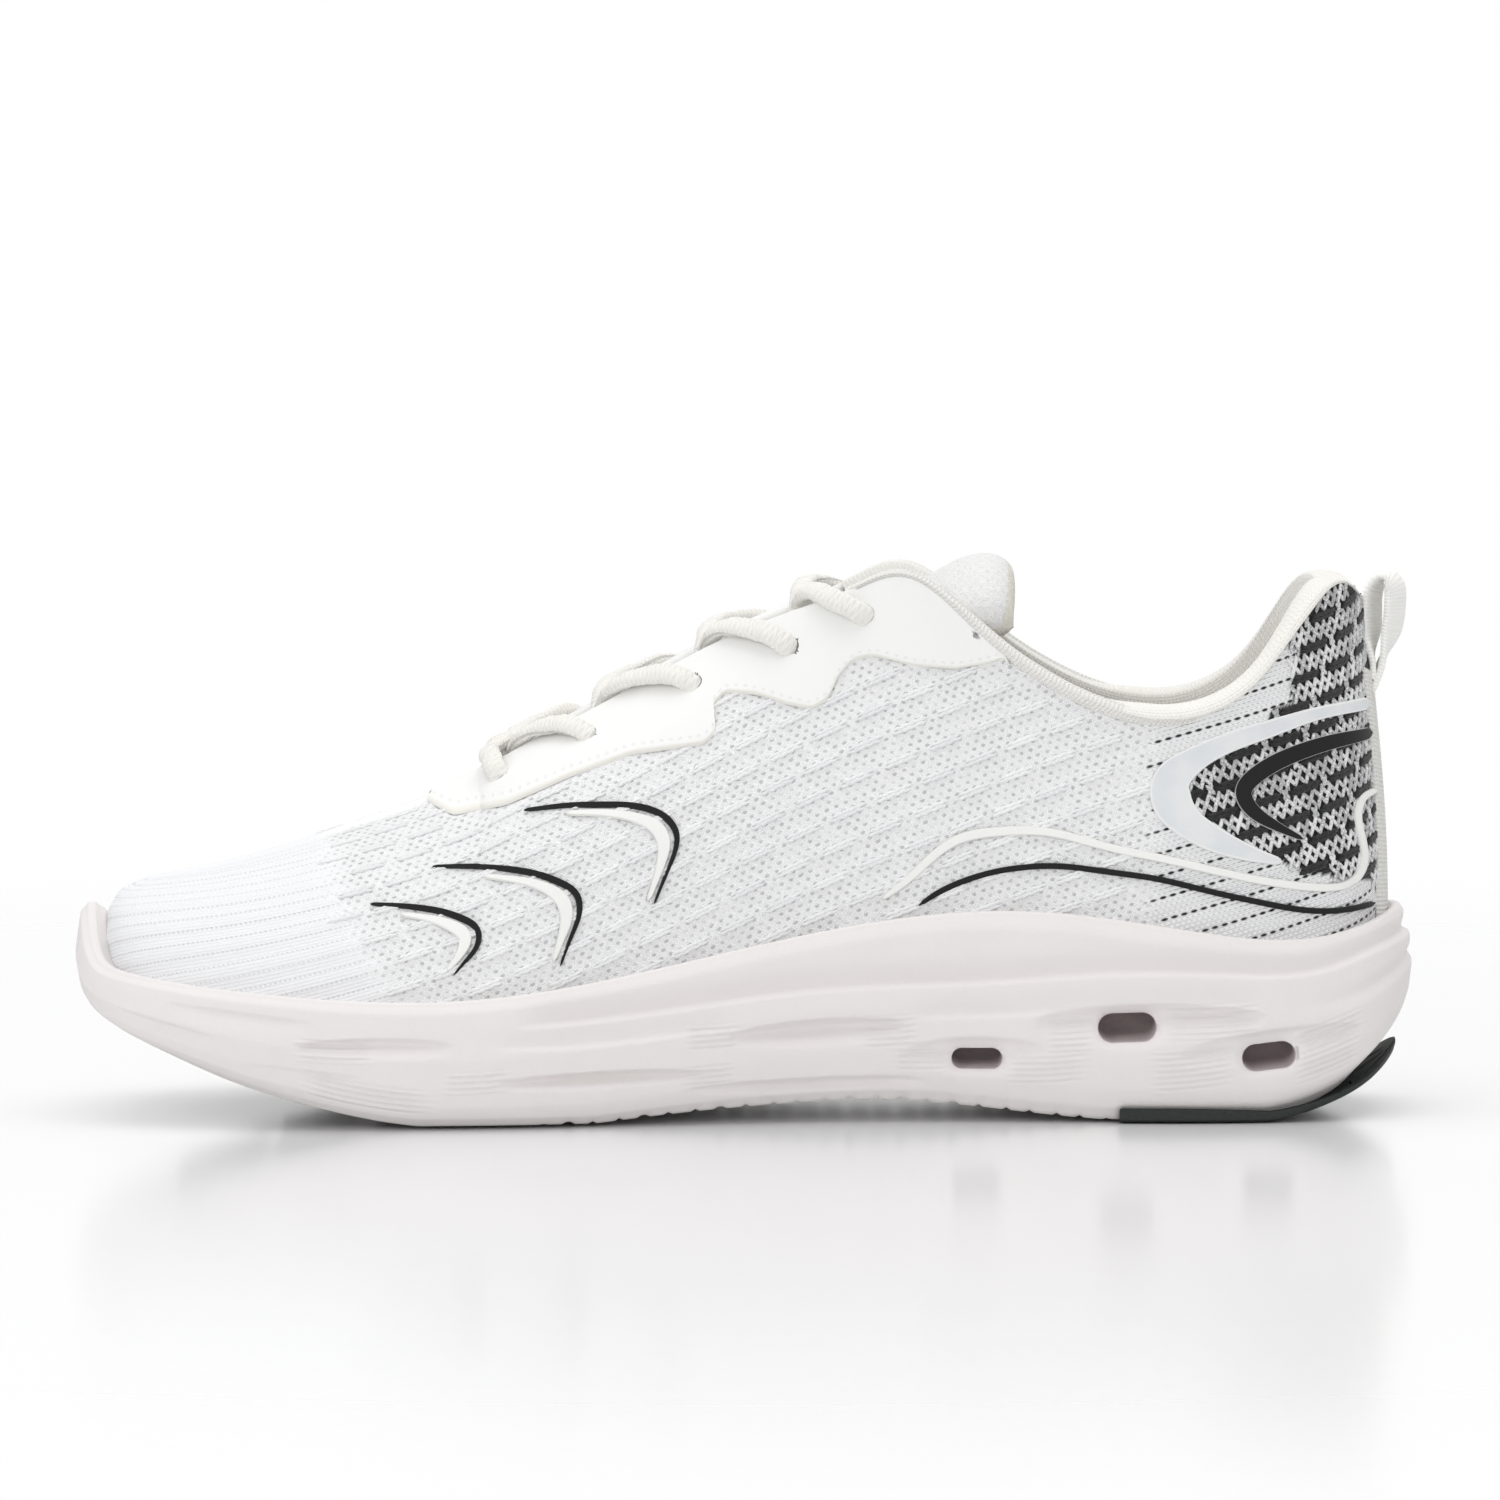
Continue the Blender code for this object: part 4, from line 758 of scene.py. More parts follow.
def cut_eyelets(made, eyelets, radius, snap=0.0):
    """Opens a round hole at each eyelet, and draws the faces' edge onto its circle."""
    with edited(made) as edit:
        for side in (MEDIAL, LATERAL):
            for x, z in eyelets:
                t, v = find_on_wall(x, z, side)
                cut_eyelet(edit, Vector(wall(t, v, side)) * MM, Vector(wall_normal(t, v, side)), radius, snap)


def cut_eyelet(edit, centre, axis, radius, snap):
    near = [(vert, vert.co - centre) for vert in edit.verts]
    near = [(vert, away - away.dot(axis) * axis) for vert, away in near if away.length <= 9 * MM]
    gone = [vert for vert, away in near if away.length < radius * MM]
    bmesh.ops.delete(edit, geom=gone, context="VERTS")
    for vert, away in near:
        if vert.is_valid and vert.is_boundary and away.length < (radius + snap) * MM:
            vert.co += away.normalized() * (radius * MM - away.length)


def add_strands(name, paths, ups, half_widths, half_heights, finish, values, count=6):
    """Many short yarns as one mesh. Paths are (yarns, points, 3); their ends taper to nothing."""
    forward = unit(np.gradient(paths, axis=1))
    across = unit(np.cross(forward, ups))
    up = np.cross(across, forward)
    turn = turns(count)
    aside = (half_widths[..., None] * np.cos(turn))[..., None] * across[:, :, None]
    rise = (half_heights[..., None] * np.sin(turn))[..., None] * up[:, :, None]
    points = paths[:, :, None] + aside + rise
    yarns, length = paths.shape[:2]
    one = np.array(grid_faces(length, count, closed=True))
    faces = (one[None] + (np.arange(yarns) * length * count)[:, None, None]).reshape(-1, 4)
    spread = {key: np.repeat(value, count, axis=-1) for key, value in values.items()}
    return add_mesh(name, points, faces.tolist(), finish, spread)


def lattice(low, high, step, row_low, row_high, row_step, stagger=0.5):
    """(course, row, number) of points in staggered rows."""
    places = []
    for k in range(int(row_low // row_step), int(row_high // row_step) + 1):
        course = np.arange(low, high, step) + (k * stagger % 1) * step
        places.append(np.column_stack([course, np.full_like(course, k * row_step), np.full_like(course, k)]))
    return np.vstack(places)


def add_ribs(finish):
    """The raised double stitches of the knit, between the toe and the heel."""
    reach = np.linspace(-0.5, 0.5, 9)
    taper = np.sqrt(np.maximum(1 - (2 * np.abs(reach)) ** 6, 0)) + 0.02
    paths, ups, tints = [], [], []
    for side in (MEDIAL, LATERAL):
        spots = lattice(0, 380, RIB_STEP, -130, 80, RIB_ROW, 0.42)
        for strand, shift in ((0, -0.36), (1, 0.36)):
            course = spots[:, 0, None] + RIB_LENGTH * reach + 0.5 * strand
            row = spots[:, 1, None] + shift + 0.12 * np.cos(reach * 25 + 3.1 * strand)
            along, up = unturned(course, row, KNIT_SLOPE)
            t, v = knit_place(along, up, side)
            centre = wall(t[:, 4], np.clip(v[:, 4], 0, 1), side)
            x, z = centre[:, 0], centre[:, 2]
            kept = (v.min(1) > 0.02) & (v.max(1) < 0.95) & (toe_share(x, z) < 0.5) & (x < HEEL_ZONE_START - 3)
            kept &= (along.min(1) > 1) & (z < eyestay_edge(x) - 1)
            t, v = t[kept], v[kept]
            paths.append(on_wall(t, v, side, 0.18 + 0.06 * np.sin(reach * 30 + strand * 3.1)))
            ups.append(wall_normal(t, v, side))
            tints.append(np.broadcast_to(noise(spots[kept, 0] * 3, spots[kept, 1])[:, None], t.shape))
    paths, ups, tints = np.concatenate(paths), np.concatenate(ups), np.concatenate(tints)
    wide = np.broadcast_to(0.5 * taper, paths.shape[:2])
    return add_strands("knit_ribs", paths, ups, wide, wide * 0.8, finish, {"tint": tints})


def heel_yarns(spots, course_shape, row_shape, side, lift):
    """Paths of yarns over the heel's black and white knit, where they fall inside it."""
    course = spots[:, 0, None] + course_shape
    row = spots[:, 1, None] + row_shape
    along, up = unturned(course, row, HEEL_SLOPE)
    t, v = knit_place(along, up, side)
    middle = v.shape[1] // 2
    inside_wall = (v.min(1) > 0.02) & (v[:, middle] < 0.985) & (along.max(1) < ALONG_TABLE[side][-1] + 1)
    v = np.minimum(v, 0.999)
    centre = wall(t, np.clip(v, 0, 1), side)[:, middle]
    kept = inside_wall & in_heel_mesh(centre[:, 0], centre[:, 2])
    t, v = t[kept], v[kept]
    return on_wall(t, v, side, lift), wall_normal(t, v, side), spots[kept]


def add_heel_yarns(loop_finish, dash_finish):
    """White loops leaning over each other, in bands between rows of black dashes."""
    reach, long_reach = np.linspace(-0.5, 0.5, 7), np.linspace(-0.5, 0.5, 15)
    arch = np.cos(reach * math.pi)
    loops, dashes = [], []
    for side in (MEDIAL, LATERAL):
        spots = lattice(200, 480, LOOP_STEP, -140, 60, DASH_ROW, 0.5)
        shake = noise(spots[:, 0] * 5.1, spots[:, 1] * 1.3)[:, None]
        for lean, lift in ((1, 0.2), (-1, 0.08)):
            course_shape = lean * LOOP_LEAN * np.sin(reach * math.pi) / 2 + 0.45 * shake
            row_shape = DASH_ROW / 2 + (LOOP_HEIGHT + 0.9 * shake) * reach
            loops.append(heel_yarns(spots, course_shape, row_shape, side, lift + 0.25 * arch))

        spots = lattice(200, 480, DASH_STEP, -140, 60, DASH_ROW, 0.45)
        gaps = spots + [DASH_LENGTH / 2 + (DASH_STEP - DASH_LENGTH) / 2, 0, 0]
        for tilt in (-1.5, 1.5):
            loops.append(heel_yarns(gaps, tilt * reach, 2.6 * reach, side, 0.35))
        for shift in (-0.42, 0.32):
            row_shape = shift + 0.16 * np.sin(long_reach * 34 + shift * 9)
            dashes.append(heel_yarns(spots, DASH_LENGTH * long_reach + shift, row_shape, side, 0.35))
    return [
        heel_strands("heel_loops", loops, loop_finish, 0.47, 4),
        heel_strands("heel_dashes", dashes, dash_finish, 0.55, 6),
    ]


def heel_strands(name, parts, finish, half, power):
    """The heel's yarns as one mesh: half their width, and how squarely their ends are cut."""
    paths, ups, spots = (np.concatenate(arrays) for arrays in zip(*parts))
    share = np.linspace(-1, 1, paths.shape[1])
    wide = np.broadcast_to(half * (np.sqrt(1 - np.abs(share) ** power) + 0.02), paths.shape[:2])
    tint = noise(spots[:, 0] * 7.7, spots[:, 1] * 3.1)[:, None] + 0.5 * np.sin(share * 9)
    return add_strands(name, paths, ups, wide, wide * 0.8, finish, {"tint": tint})


def ribbon_lines(stations, shares, spacing=0.6):
    """Lines along a smooth ribbon through (x, z, width) stations, at these shares of its width."""
    points = np.array(stations, float)
    along = arc_lengths(points[:, :2])
    at = np.linspace(0, along[-1], int(along[-1] / spacing))
    x, z, width = (Curve(*zip(along, column))(at) for column in points.T)
    forward = unit(np.column_stack([np.gradient(x, at), np.gradient(z, at)]))
    tip = np.minimum(at, along[-1] - at)
    width = np.maximum(width, 0.25) * np.sqrt(np.clip((tip + 0.05) / 1.2, 0, 1))
    half = width[:, None] / 2 * np.column_stack([-forward[:, 1], forward[:, 0]])
    middle = np.column_stack([x, z])
    return np.array([middle + share * half for share in shares]), at, width


def add_overlay(name, side, finish, stations):
    """A raised film on one side of the upper, with rounded edges sunk just into the knit."""
    shares = np.array([-1, -0.97, -0.92, -0.85, -0.6, -0.3, 0, 0.3, 0.6, 0.85, 0.92, 0.97, 1])
    lines, at, width = ribbon_lines(stations, shares)
    inset = (1 - np.abs(shares))[:, None] * width / 2
    over_heel = inside_outline(lines[..., 0], lines[..., 1], HEEL_MESH).any(0)
    height = FILM_RISE * rounded(inset, 0.16) * (1 + HEEL_FILM_RISE * over_heel)
    t, v = find_on_wall(lines[..., 0], lines[..., 1], side)
    values = {"edge": inset, "along": at, "across": shares[:, None] * width / 2}
    return grid_mesh(name, on_wall(t, v, side, 0.1 + height), finish, values)


def below_top_line(t, side, distance):
    """The height v of the places this far down the wall from the top line."""
    v = np.linspace(0.5, 1, 80)
    t, distance = np.broadcast_arrays(np.atleast_1d(t), distance)
    found = np.empty(t.shape)
    for place in np.ndindex(t.shape):
        down = arc_lengths(wall(t[place], v, side)[::-1])
        found[place] = np.interp(distance[place], down, v[::-1])
    return found


def station_of_top(x):
    t = np.linspace(0.3, 0.95, 400)
    return np.interp(x, TOP_X(t), t)


def over_the_edge(t, side, depth, lift):
    """Points that turn over the top line and go this far down inside it, for each t."""
    lift = np.broadcast_to(lift, t.shape)[:, None]
    top, normal = wall(t, 1.0, side), wall_normal(t, 0.999, side)
    inward = -normal
    down = unit(wall(t, 0.97, side) - top)
    return [
        top + 0.55 * lift * normal - 0.8 * lift * down,
        top + 0.6 * inward - (lift + 0.2) * down,
        top + 1.5 * inward - 0.5 * lift * down,
        top + 2.0 * inward + 0.5 * down,
        top + 2.0 * inward + depth * down,
    ]


def add_eyestay(name, side, finish):
    """The smooth film round the eyelets, rounded at its edges, with the throat's edge turned over."""
    edge = np.array(EYESTAY_EDGE)
    along = arc_lengths(edge)
    at = np.linspace(0, along[-1], 300)
    low = smooth_rows(np.column_stack([np.interp(at, along, column) for column in edge.T]), 6)
    low_t, low_v = find_on_wall(*low.T, side)
    high_t = station_of_top(np.linspace(EYESTAY_START + 1, EYESTAY_END - 1, len(at)))
    bound = smooth_step(TOP_X(high_t), BINDING_START - 7, BINDING_START - 2)
    high_v = 1 + bound * (below_top_line(high_t, side, binding_width(TOP_X(high_t)) - 0.6) - 1)
    low_v = np.minimum(low_v, high_v - 0.02)
    reach = np.hypot(*(wall(high_t, high_v, side) - wall(low_t, low_v, side))[:, [0, 2]].T)
    rows, edges = [], []
    for share in np.r_[0, 0.012, 0.03, 0.06, np.linspace(0.1, 1, 44)]:
        t, v = low_t + share * (high_t - low_t), low_v + share * (high_v - low_v)
        edges.append(share * reach)
        rows.append(on_wall(t, v, side, 0.08 + EYESTAY_RISE * rounded(edges[-1], 0.5)))
    throat = (1 - bound)[:, None]
    for turned_over in over_the_edge(high_t, side, 4.0, 0.4):
        rows.append(throat * turned_over + (1 - throat) * rows[-1])
        edges.append(reach)
    return grid_mesh(name, np.array(rows), finish, {"edge": np.array(edges), "along": at})


def binding_width(x):
    """The tape shows narrow over the peak of the throat and wider behind it."""
    return BINDING_WIDTH * (0.5 + 0.55 * smooth_step(x, 36, 54))


def add_binding(name, side, finish):
    """The knitted tape folded over the front of the collar, with slanted stitches across it."""
    x = np.linspace(BINDING_START - 4, BINDING_END, 420)
    t = station_of_top(x)
    along = arc_lengths(wall(t, 1.0, side))
    fade = np.clip(np.minimum(along, along[-1] - along) / 3, 0, 1)
    rows, across = [], []
    for share, more, lift in (
        (1, 0.25, 0.1), (1, 0, 0.7), (0.88, 0, 1.05), (0.66, 0, 1.05), (0.44, 0, 1.05), (0.2, 0, 1.05),
    ):
        down = binding_width(x) * share + more
        stitch = TAPE_STITCH * wave(along + 0.9 * down, TAPE_PITCH) * (share < 1)
        rows.append(on_wall(t, below_top_line(t, side, down), side, lift * (0.3 + 0.7 * fade) + stitch))
        across.append(BINDING_WIDTH * share + more)
    for k, points in enumerate(over_the_edge(t, side, 3.0, 0.55 + 0.5 * smooth_step(x, 40, 56))):
        rows.append(points + TAPE_STITCH * wave(along - 0.9 * k, TAPE_PITCH)[:, None] * [0, 0, 1])
        across.append(-k)
    return grid_mesh(name, np.array(rows), finish, {"along": along, "across": np.array(across)[:, None]})


def collar_depth(t):
    """How far the lining lies inside the face of the knit."""
    return 4.8 + 2.8 * smooth_step(t, 0.6, 0.76)


def add_lining(finish):
    """The collar's lining: up the inside, then rolled over the edge and a little way down outside."""
    stations = even_stations(0.9, 0.555)
    t = np.r_[stations, stations[-2::-1]]
    side = np.r_[np.full(len(stations), MEDIAL), np.full(len(stations) - 1, LATERAL)]
    x = TOP_X(t)
    depth = collar_depth(t)
    fullness = 0.8 * smooth_step(t, 0.66, 0.78)
    heights = np.linspace(0.12, 0.985, 44)
    rows = [on_wall(t, v, side, -depth - fullness * math.sin(math.pi * v)) for v in heights]
    flat_out = np.column_stack([outward(t, side), np.zeros_like(t)])
    roll = smooth_step(x, 76, 90) * (1 - smooth_step(x, 124, 134))
    outer = 0.3 + 0.9 * roll
    thick = (depth + outer) / 2
    for angle in np.radians(np.linspace(8, 172, 22)):
        across = (outer - thick) + thick * -math.cos(angle)
        rise = (ROLL_RISE + 1.4 * roll) * math.sin(angle)
        rows.append(wall(t, 1.0, side) + across[:, None] * flat_out + rise[:, None] * [0, 0, 1])
    lip = 0.4 + roll * (ROLL_WIDTH + 0.6 * smooth_step(x, 88, 112) * (1 - smooth_step(x, 121, 131)))
    for share, fall, swell in ((0.25, 1, 1), (0.55, 1, 1), (0.8, 1, 1), (0.93, 0.75, 0), (1.0, -0.3, 0)):
        v = np.empty_like(t)
        for direction in (MEDIAL, LATERAL):
            here = side == direction
            v[here] = below_top_line(t[here], direction, lip[here] * share)
        rows.append(on_wall(t, v, side, outer * fall + 0.35 * swell * roll * math.sin(math.pi * share)))
    grid = np.array(rows)
    along = {direction: np.interp(t, WALL_T, ALONG_TABLE[direction]) for direction in (MEDIAL, LATERAL)}
    along = np.where(side > 0, 700 - along[LATERAL], along[MEDIAL])
    values = {"along": along, "up": arc_lengths(grid[:, len(stations) // 2])[:, None]}
    return grid_mesh("collar_roll", grid, finish, values, outside=lambda point: -away_from_foot(point))


# Tongue: a quilted pad under the throat, whose tab stands up in front of the ankle.
def across_tongue(t, columns):
    """A smooth arch of points across the tongue's face, which follows the inside of the upper."""
    heights = np.array([0.76, 0.84, 0.92])
    sides = [on_wall(np.full(3, t), heights, side, -TONGUE_DEPTH) for side in (MEDIAL, LATERAL)]
    x = TOP_X(t)
    points = np.vstack([*sides, np.tile([x, TOP_CENTRE(x), TONGUE_LINE(x)], (4, 1))])
    y = np.linspace(points[:, 1].min() - TONGUE_SPREAD, points[:, 1].max() + TONGUE_SPREAD, columns)
    return np.column_stack([
        np.polyval(np.polyfit(points[:, 1], points[:, 0], 2), y),
        y,
        np.polyval(np.polyfit(points[:, 1], points[:, 2], 2), y),
    ])


def across_tab(x, z, half, columns):
    y = np.linspace(-half, half, columns)
    return np.column_stack([np.full(columns, x), TAB_CENTRE + y, z - TAB_DROP * y * y])


def grid_normals(grid):
    """Unit normals of a grid of points, turned upward."""
    normal = unit(np.cross(np.gradient(grid, axis=0), np.gradient(grid, axis=1)))
    return normal * np.sign(normal[..., 2:])


def refine(grid, factor):
    """A smoother, finer grid through the points of a coarse one."""
    for axis in (0, 1):
        count = grid.shape[axis]
        at, fine = np.arange(count), np.linspace(0, count - 1, (count - 1) * factor + 1)
        moved = np.moveaxis(grid, axis, 0)
        flat = moved.reshape(count, -1)
        flat = np.stack([Curve(*zip(at, column))(fine) for column in flat.T], -1)
        grid = np.moveaxis(flat.reshape(len(fine), *moved.shape[1:]), 0, axis)
    return grid


def cushion(name, middle, thickness, face_finish, back_finish, rear_lined=0):
    """A closed pad round a grid: its face puffed out with knit wales, its back covered in lining."""
    rows, columns = middle.shape[:2]
    a, b = np.meshgrid(np.linspace(-1, 1, rows), np.linspace(-1, 1, columns), indexing="ij")
    swell = (np.clip(1 - a**8, 0, 1) * np.clip(1 - np.abs(b) ** 6, 0, 1)) ** 0.5
    along, across = arc_lengths(np.moveaxis(middle, 0, 1)).T, arc_lengths(middle)
    half = (thickness / 2 * swell)[..., None] * grid_normals(middle)
    values = {"along": along, "up": across, "rear": a * rear_lined}
    made = []
    for suffix, finish, sign in (("face", face_finish, 1), ("back", back_finish, -1)):
        outside = Vector((-0.5 * sign, 0, sign))
        made.append(grid_mesh(
            f"{name}_{suffix}", middle + sign * half, finish, values, outside=lambda point, way=outside: way,
        ))
    return made


# Laces: each control point comes with the direction the lace faces there.
def pinned(t, v, side, offset, facing=None):
    """A point beside the upper and the wall's normal there, or at the height v = facing."""
    return on_wall(t, v, side, offset), wall_normal(t, v if facing is None else facing, side)


def crossing(k, side):
    """The lace from one eyelet to the next one up on the other side."""
    t0, v0 = find_on_wall(*EYELETS[k], side)
    t1, v1 = find_on_wall(*EYELETS[k + 1], -side)
    middle = TOP_X(t0 + 0.18 * (t1 - t0))
    ridge = (TOP_Z(middle + 1) - TOP_Z(middle - 1)) / 2
    rise = 1.3 if side == MEDIAL else -2.3
    edge_t0, edge_t1, near_t1 = (t0 + share * (t1 - t0) for share in (0.06, 0.34, 0.66))
    normal = wall_normal(t1, v1, -side)
    return [
        pinned(t0, v0, side, LACE_UNDER),
        pinned(edge_t0, 0.965, side, LACE_UNDER - 0.4),
        pinned(edge_t0, 1, side, LACE_UNDER - 1.2, 0.99),
        ([middle - 0.3 * ridge, TOP_CENTRE(middle), TOP_Z(middle) + rise], [-ridge, 0, 1.0]),
        (wall(edge_t1, 1.0, -side) + [0, 0, LACE_OVER], wall_normal(edge_t1, 0.97, -side) + [0, 0, 1.0]),
        pinned(near_t1, v1 + 0.72 * (1 - v1), -side, LACE_OVER - 0.3, 0.95),
        (on_wall(t1 + 0.3 * (near_t1 - t1), v1 + 0.2 * (1 - v1), -side, LACE_OVER - 0.7), normal),
        (on_wall(t1 + 0.001, v1 - 0.012, -side, LACE_UNDER / 2), normal),
    ]


def strand(side):
    """Half of the lace, from the middle of the bottom bar up to its end inside the collar."""
    t, v = find_on_wall(*EYELETS[0], side)
    x = TOP_X(t)
    parts = [
        ([x, TOP_CENTRE(x), TOP_Z(x) + LACE_OVER + 0.6], [-0.5, 0, 1.0]),
        pinned(t, 1.0, side, LACE_OVER, 0.97),
        pinned(t, 0.93, side, LACE_OVER),
        pinned(t, v + 0.015, side, LACE_OVER - 0.7, v),
        pinned(t, v - 0.01, side, LACE_UNDER / 2, v),
    ]
    for k in range(len(EYELETS) - 1):
        parts.extend(crossing(k, side))
        side = -side
    inside = (EYELETS[-1], *LACE_INSIDE)
    return parts + [pinned(*find_on_wall(x, z, side), side, LACE_UNDER) for x, z in inside]


def lace_sections(at, count=18):
    """An oval braid whose stitches slant both ways."""
    across, up = oval(count, LACE_HALF_WIDTH, LACE_HALF_HEIGHT, 0.85)
    braid = 1 + 0.025 * np.sin(at[:, None] * 2 * math.pi / BRAID_PITCH + 4 * np.cos(turns(count)))
    braid += 0.06 * noise(at * 0.35, at * 0.2)[:, None]
    return across * braid, up * (2 * braid - 1)


def add_laces(finish, tip_finish):
    halves = [strand(side) for side in (MEDIAL, LATERAL)]
    path, at = even_path([np.r_[point] for point in halves[0][:0:-1] + halves[1]], 0.35)
    path = smooth_rows(path, 12)
    across, up = lace_sections(at)
    values = {"along": at[:, None], "around": turns(across.shape[1])}
    made = [swept_mesh("lace_braid", path[:, :3], unit(path[:, 3:]), (across, up), finish, values)]
    for word, half in zip(("start", "end"), halves):
        (before, _), (last, facing) = half[-2:]
        side = MEDIAL if last[1] < 0 else LATERAL
        tip_parts = [(last - (last - before) * 0.15, facing)]
        tip_parts += [pinned(*find_on_wall(x, z, side), side, LACE_UNDER) for x, z in TIP_INSIDE]
        tip, tip_at = even_path([np.r_[point] for point in tip_parts], 0.8)
        narrow = (1 - 0.25 * smooth_step(tip_at, tip_at[-1] - 2, tip_at[-1]))[:, None]
        sections = [radius * narrow for radius in oval(14, *TIP_RADII)]
        made.append(swept_mesh(f"lace_tip_{word}", tip[:, :3], unit(tip[:, 3:]), sections, tip_finish))
    return made


# Heel tape and pull loop: woven ribs run across both.
def rib_rings(at, half_width, half_height, count=20, pitch=0.8, depth=0.04):
    """Sections of a strap with ribs across its faces and a scalloped edge."""
    across, up = oval(count, half_width, half_height, 0.35)
    rib = depth * np.abs(np.sin(at * math.pi / pitch))[:, None] * np.sign(up)
    selvedge = 0.03 * wave(at, pitch)[:, None] * (np.abs(across) > half_width * 0.9)
    return across + selvedge * np.sign(across), up + rib


def add_heel_tape(finish):
    """Ribbed tape up the back of the heel, wrapped round its curve."""
    across = np.linspace(-1, 1, 41) * TAPE_REACH
    side = np.where(across < 0, MEDIAL, LATERAL)
    t = np.interp(ALONG_TABLE[MEDIAL][-1] - np.abs(across), ALONG_TABLE[MEDIAL], WALL_T)
    v = np.linspace(0.03, 1, 420)
    v = v[wall(1.0, v, MEDIAL)[:, 2] < TAPE_TOP + 1.5]
    at = arc_lengths(wall(1.0, v, MEDIAL))
    rib = 0.13 * np.abs(np.sin(at * math.pi / TAPE_PITCH))[:, None]
    edge = np.sqrt(np.clip(1 - (np.abs(across) / TAPE_REACH) ** 24, 0, 1))
    top = np.clip((at[-1] - at) / 0.4, 0, 1)[:, None]
    grid = on_wall(t[None], v[:, None], side[None], 0.1 + (TAPE_RISE + rib) * edge * top)
    return grid_mesh("heel_tape_woven", grid, finish, {"along": at[:, None], "across": across})


def add_pull_loop(finish):
    """A ribbed strap whose middle is twisted towards the side view."""
    path, at = even_path([(x, LOOP_FOOT[1], z) for x, z in LOOP_PATH], 0.2)
    forward = unit(np.gradient(path, axis=0))
    twist = math.radians(LOOP_TWIST) * smooth_step(at, 3, 12) * (1 - smooth_step(at, at[-1] - 16, at[-1] - 6))
    ups = np.cross(forward, np.column_stack([np.sin(twist), np.cos(twist), np.zeros_like(twist)]))
    sections = rib_rings(at, LOOP_HALF_WIDTH, STRAP / 2)
    values = {"along": at[:, None], "across": sections[0]}
    return swept_mesh("pull_loop_woven", path, ups, sections, finish, values)


# Sole. Lines pressed into its side wall, seen from the side: (x, z) along each.
CREASE_A = Curve(
    (-60, 22), (-49, 23.2), (-33, 24.6), (-9, 27.4), (17, 30.4), (55, 32.2), (78, 33.9), (106, 33.9),
    (129, 34.6), (144, 39.2), (151, 41),
)
CREASE_B = Curve((-60, 18.7), (-32, 19.2), (-23.6, 20), (-3, 22.1))
CREASE_C = Curve((30, 23.4), (37, 23.9), (60, 24.8), (74, 25.9), (118, 26.6))
# Line, x from, x to and depth of each.
CREASES = ((CREASE_A, -52, 160, 1.7), (CREASE_B, -58, 0, 0.9), (CREASE_C, 34, 116, 0.8))
# Flutes: hollows in the wall, as (x from, x to, top z at both ends, bottom z at both ends, relative depth).
FLUTE_DEPTH, TOE_CREASE_DEPTH, WINDOW_LIP, WINDOW_DEPTH = 2.1, 0.7, 1.3, 24.0
FLUTES = (
    (-54, -10, 12.1, 13.3, 7.2, 9.0, 1.3),
    (-3, 35, 22.1, 24.5, 15.5, 17.3, 1.5),
    (-12, 40, 9.2, 11, 5.6, 6.6, 1.0),
    (-99, -65, 20.4, 20.8, 15.6, 14.8, 0.9),
    (65, 115, 26.4, 27, 15.8, 17.6, 1.5),
    (97, 137, 18.5, 23.5, 9.5, 15, 0.9),
    (36, 66, 19, 19.5, 10, 10.5, 0.9),
)
# Fine ridges at the ends of the flutes: (x from, x to, z from, z to, slope).
RIDGES = (
    (-66, -52, 8, 13, 0.05), (-14, -2, 9, 13.5, 0.06), (-13, -1, 17, 22.5, 0.06), (26, 38, 17, 24, 0.05),
    (33, 45, 11.6, 17, 0.0), (58, 76, 8.6, 15, 0.06), (67, 77, 16, 24, 0.06), (93, 114, 19, 26.5, 0.05),
    (90, 108, 7.6, 16.4, 0.1), (123, 137, 10.8, 22.7, 0.35), (-98, -69, 5, 10.5, -0.17),
    (-99, -82, 15, 20, -0.03),
)
# Creases low on the toe: (x, z) at both ends of each.
TOE_CREASES = (((-139, 25.5), (-117, 20.2)), ((-109, 14.2), (-85, 11.6)), ((-128, 27.5), (-96, 23.6)))
# Side wall of the sole from the ground edge to the rim: (share of the height, inset).
WALL_PROFILE = (
    (0, 6.5), (0.06, 4.2), (0.16, 2.0), (0.3, 0.8), (0.55, 0), (0.8, 0.7), (0.93, 1.2), (1.0, RIM_INSET),
)


def window_distance(x, z, window):
    """How far a place in the side view is outside a window; negative inside it."""
    centre_x, centre_z, length, height, tilt = window
    along, up = turned(x - centre_x, z - centre_z, math.radians(tilt))
    beyond = np.maximum(np.abs(along) - (length - height) / 2, 0)
    return np.hypot(beyond, up) - height / 2


def valley(off, above, below):
    """A crease's section, 1 at its line and 0 away from it, with one width above the line and one below."""
    return np.exp(-((off / np.where(off > 0, above, below)) ** 2))


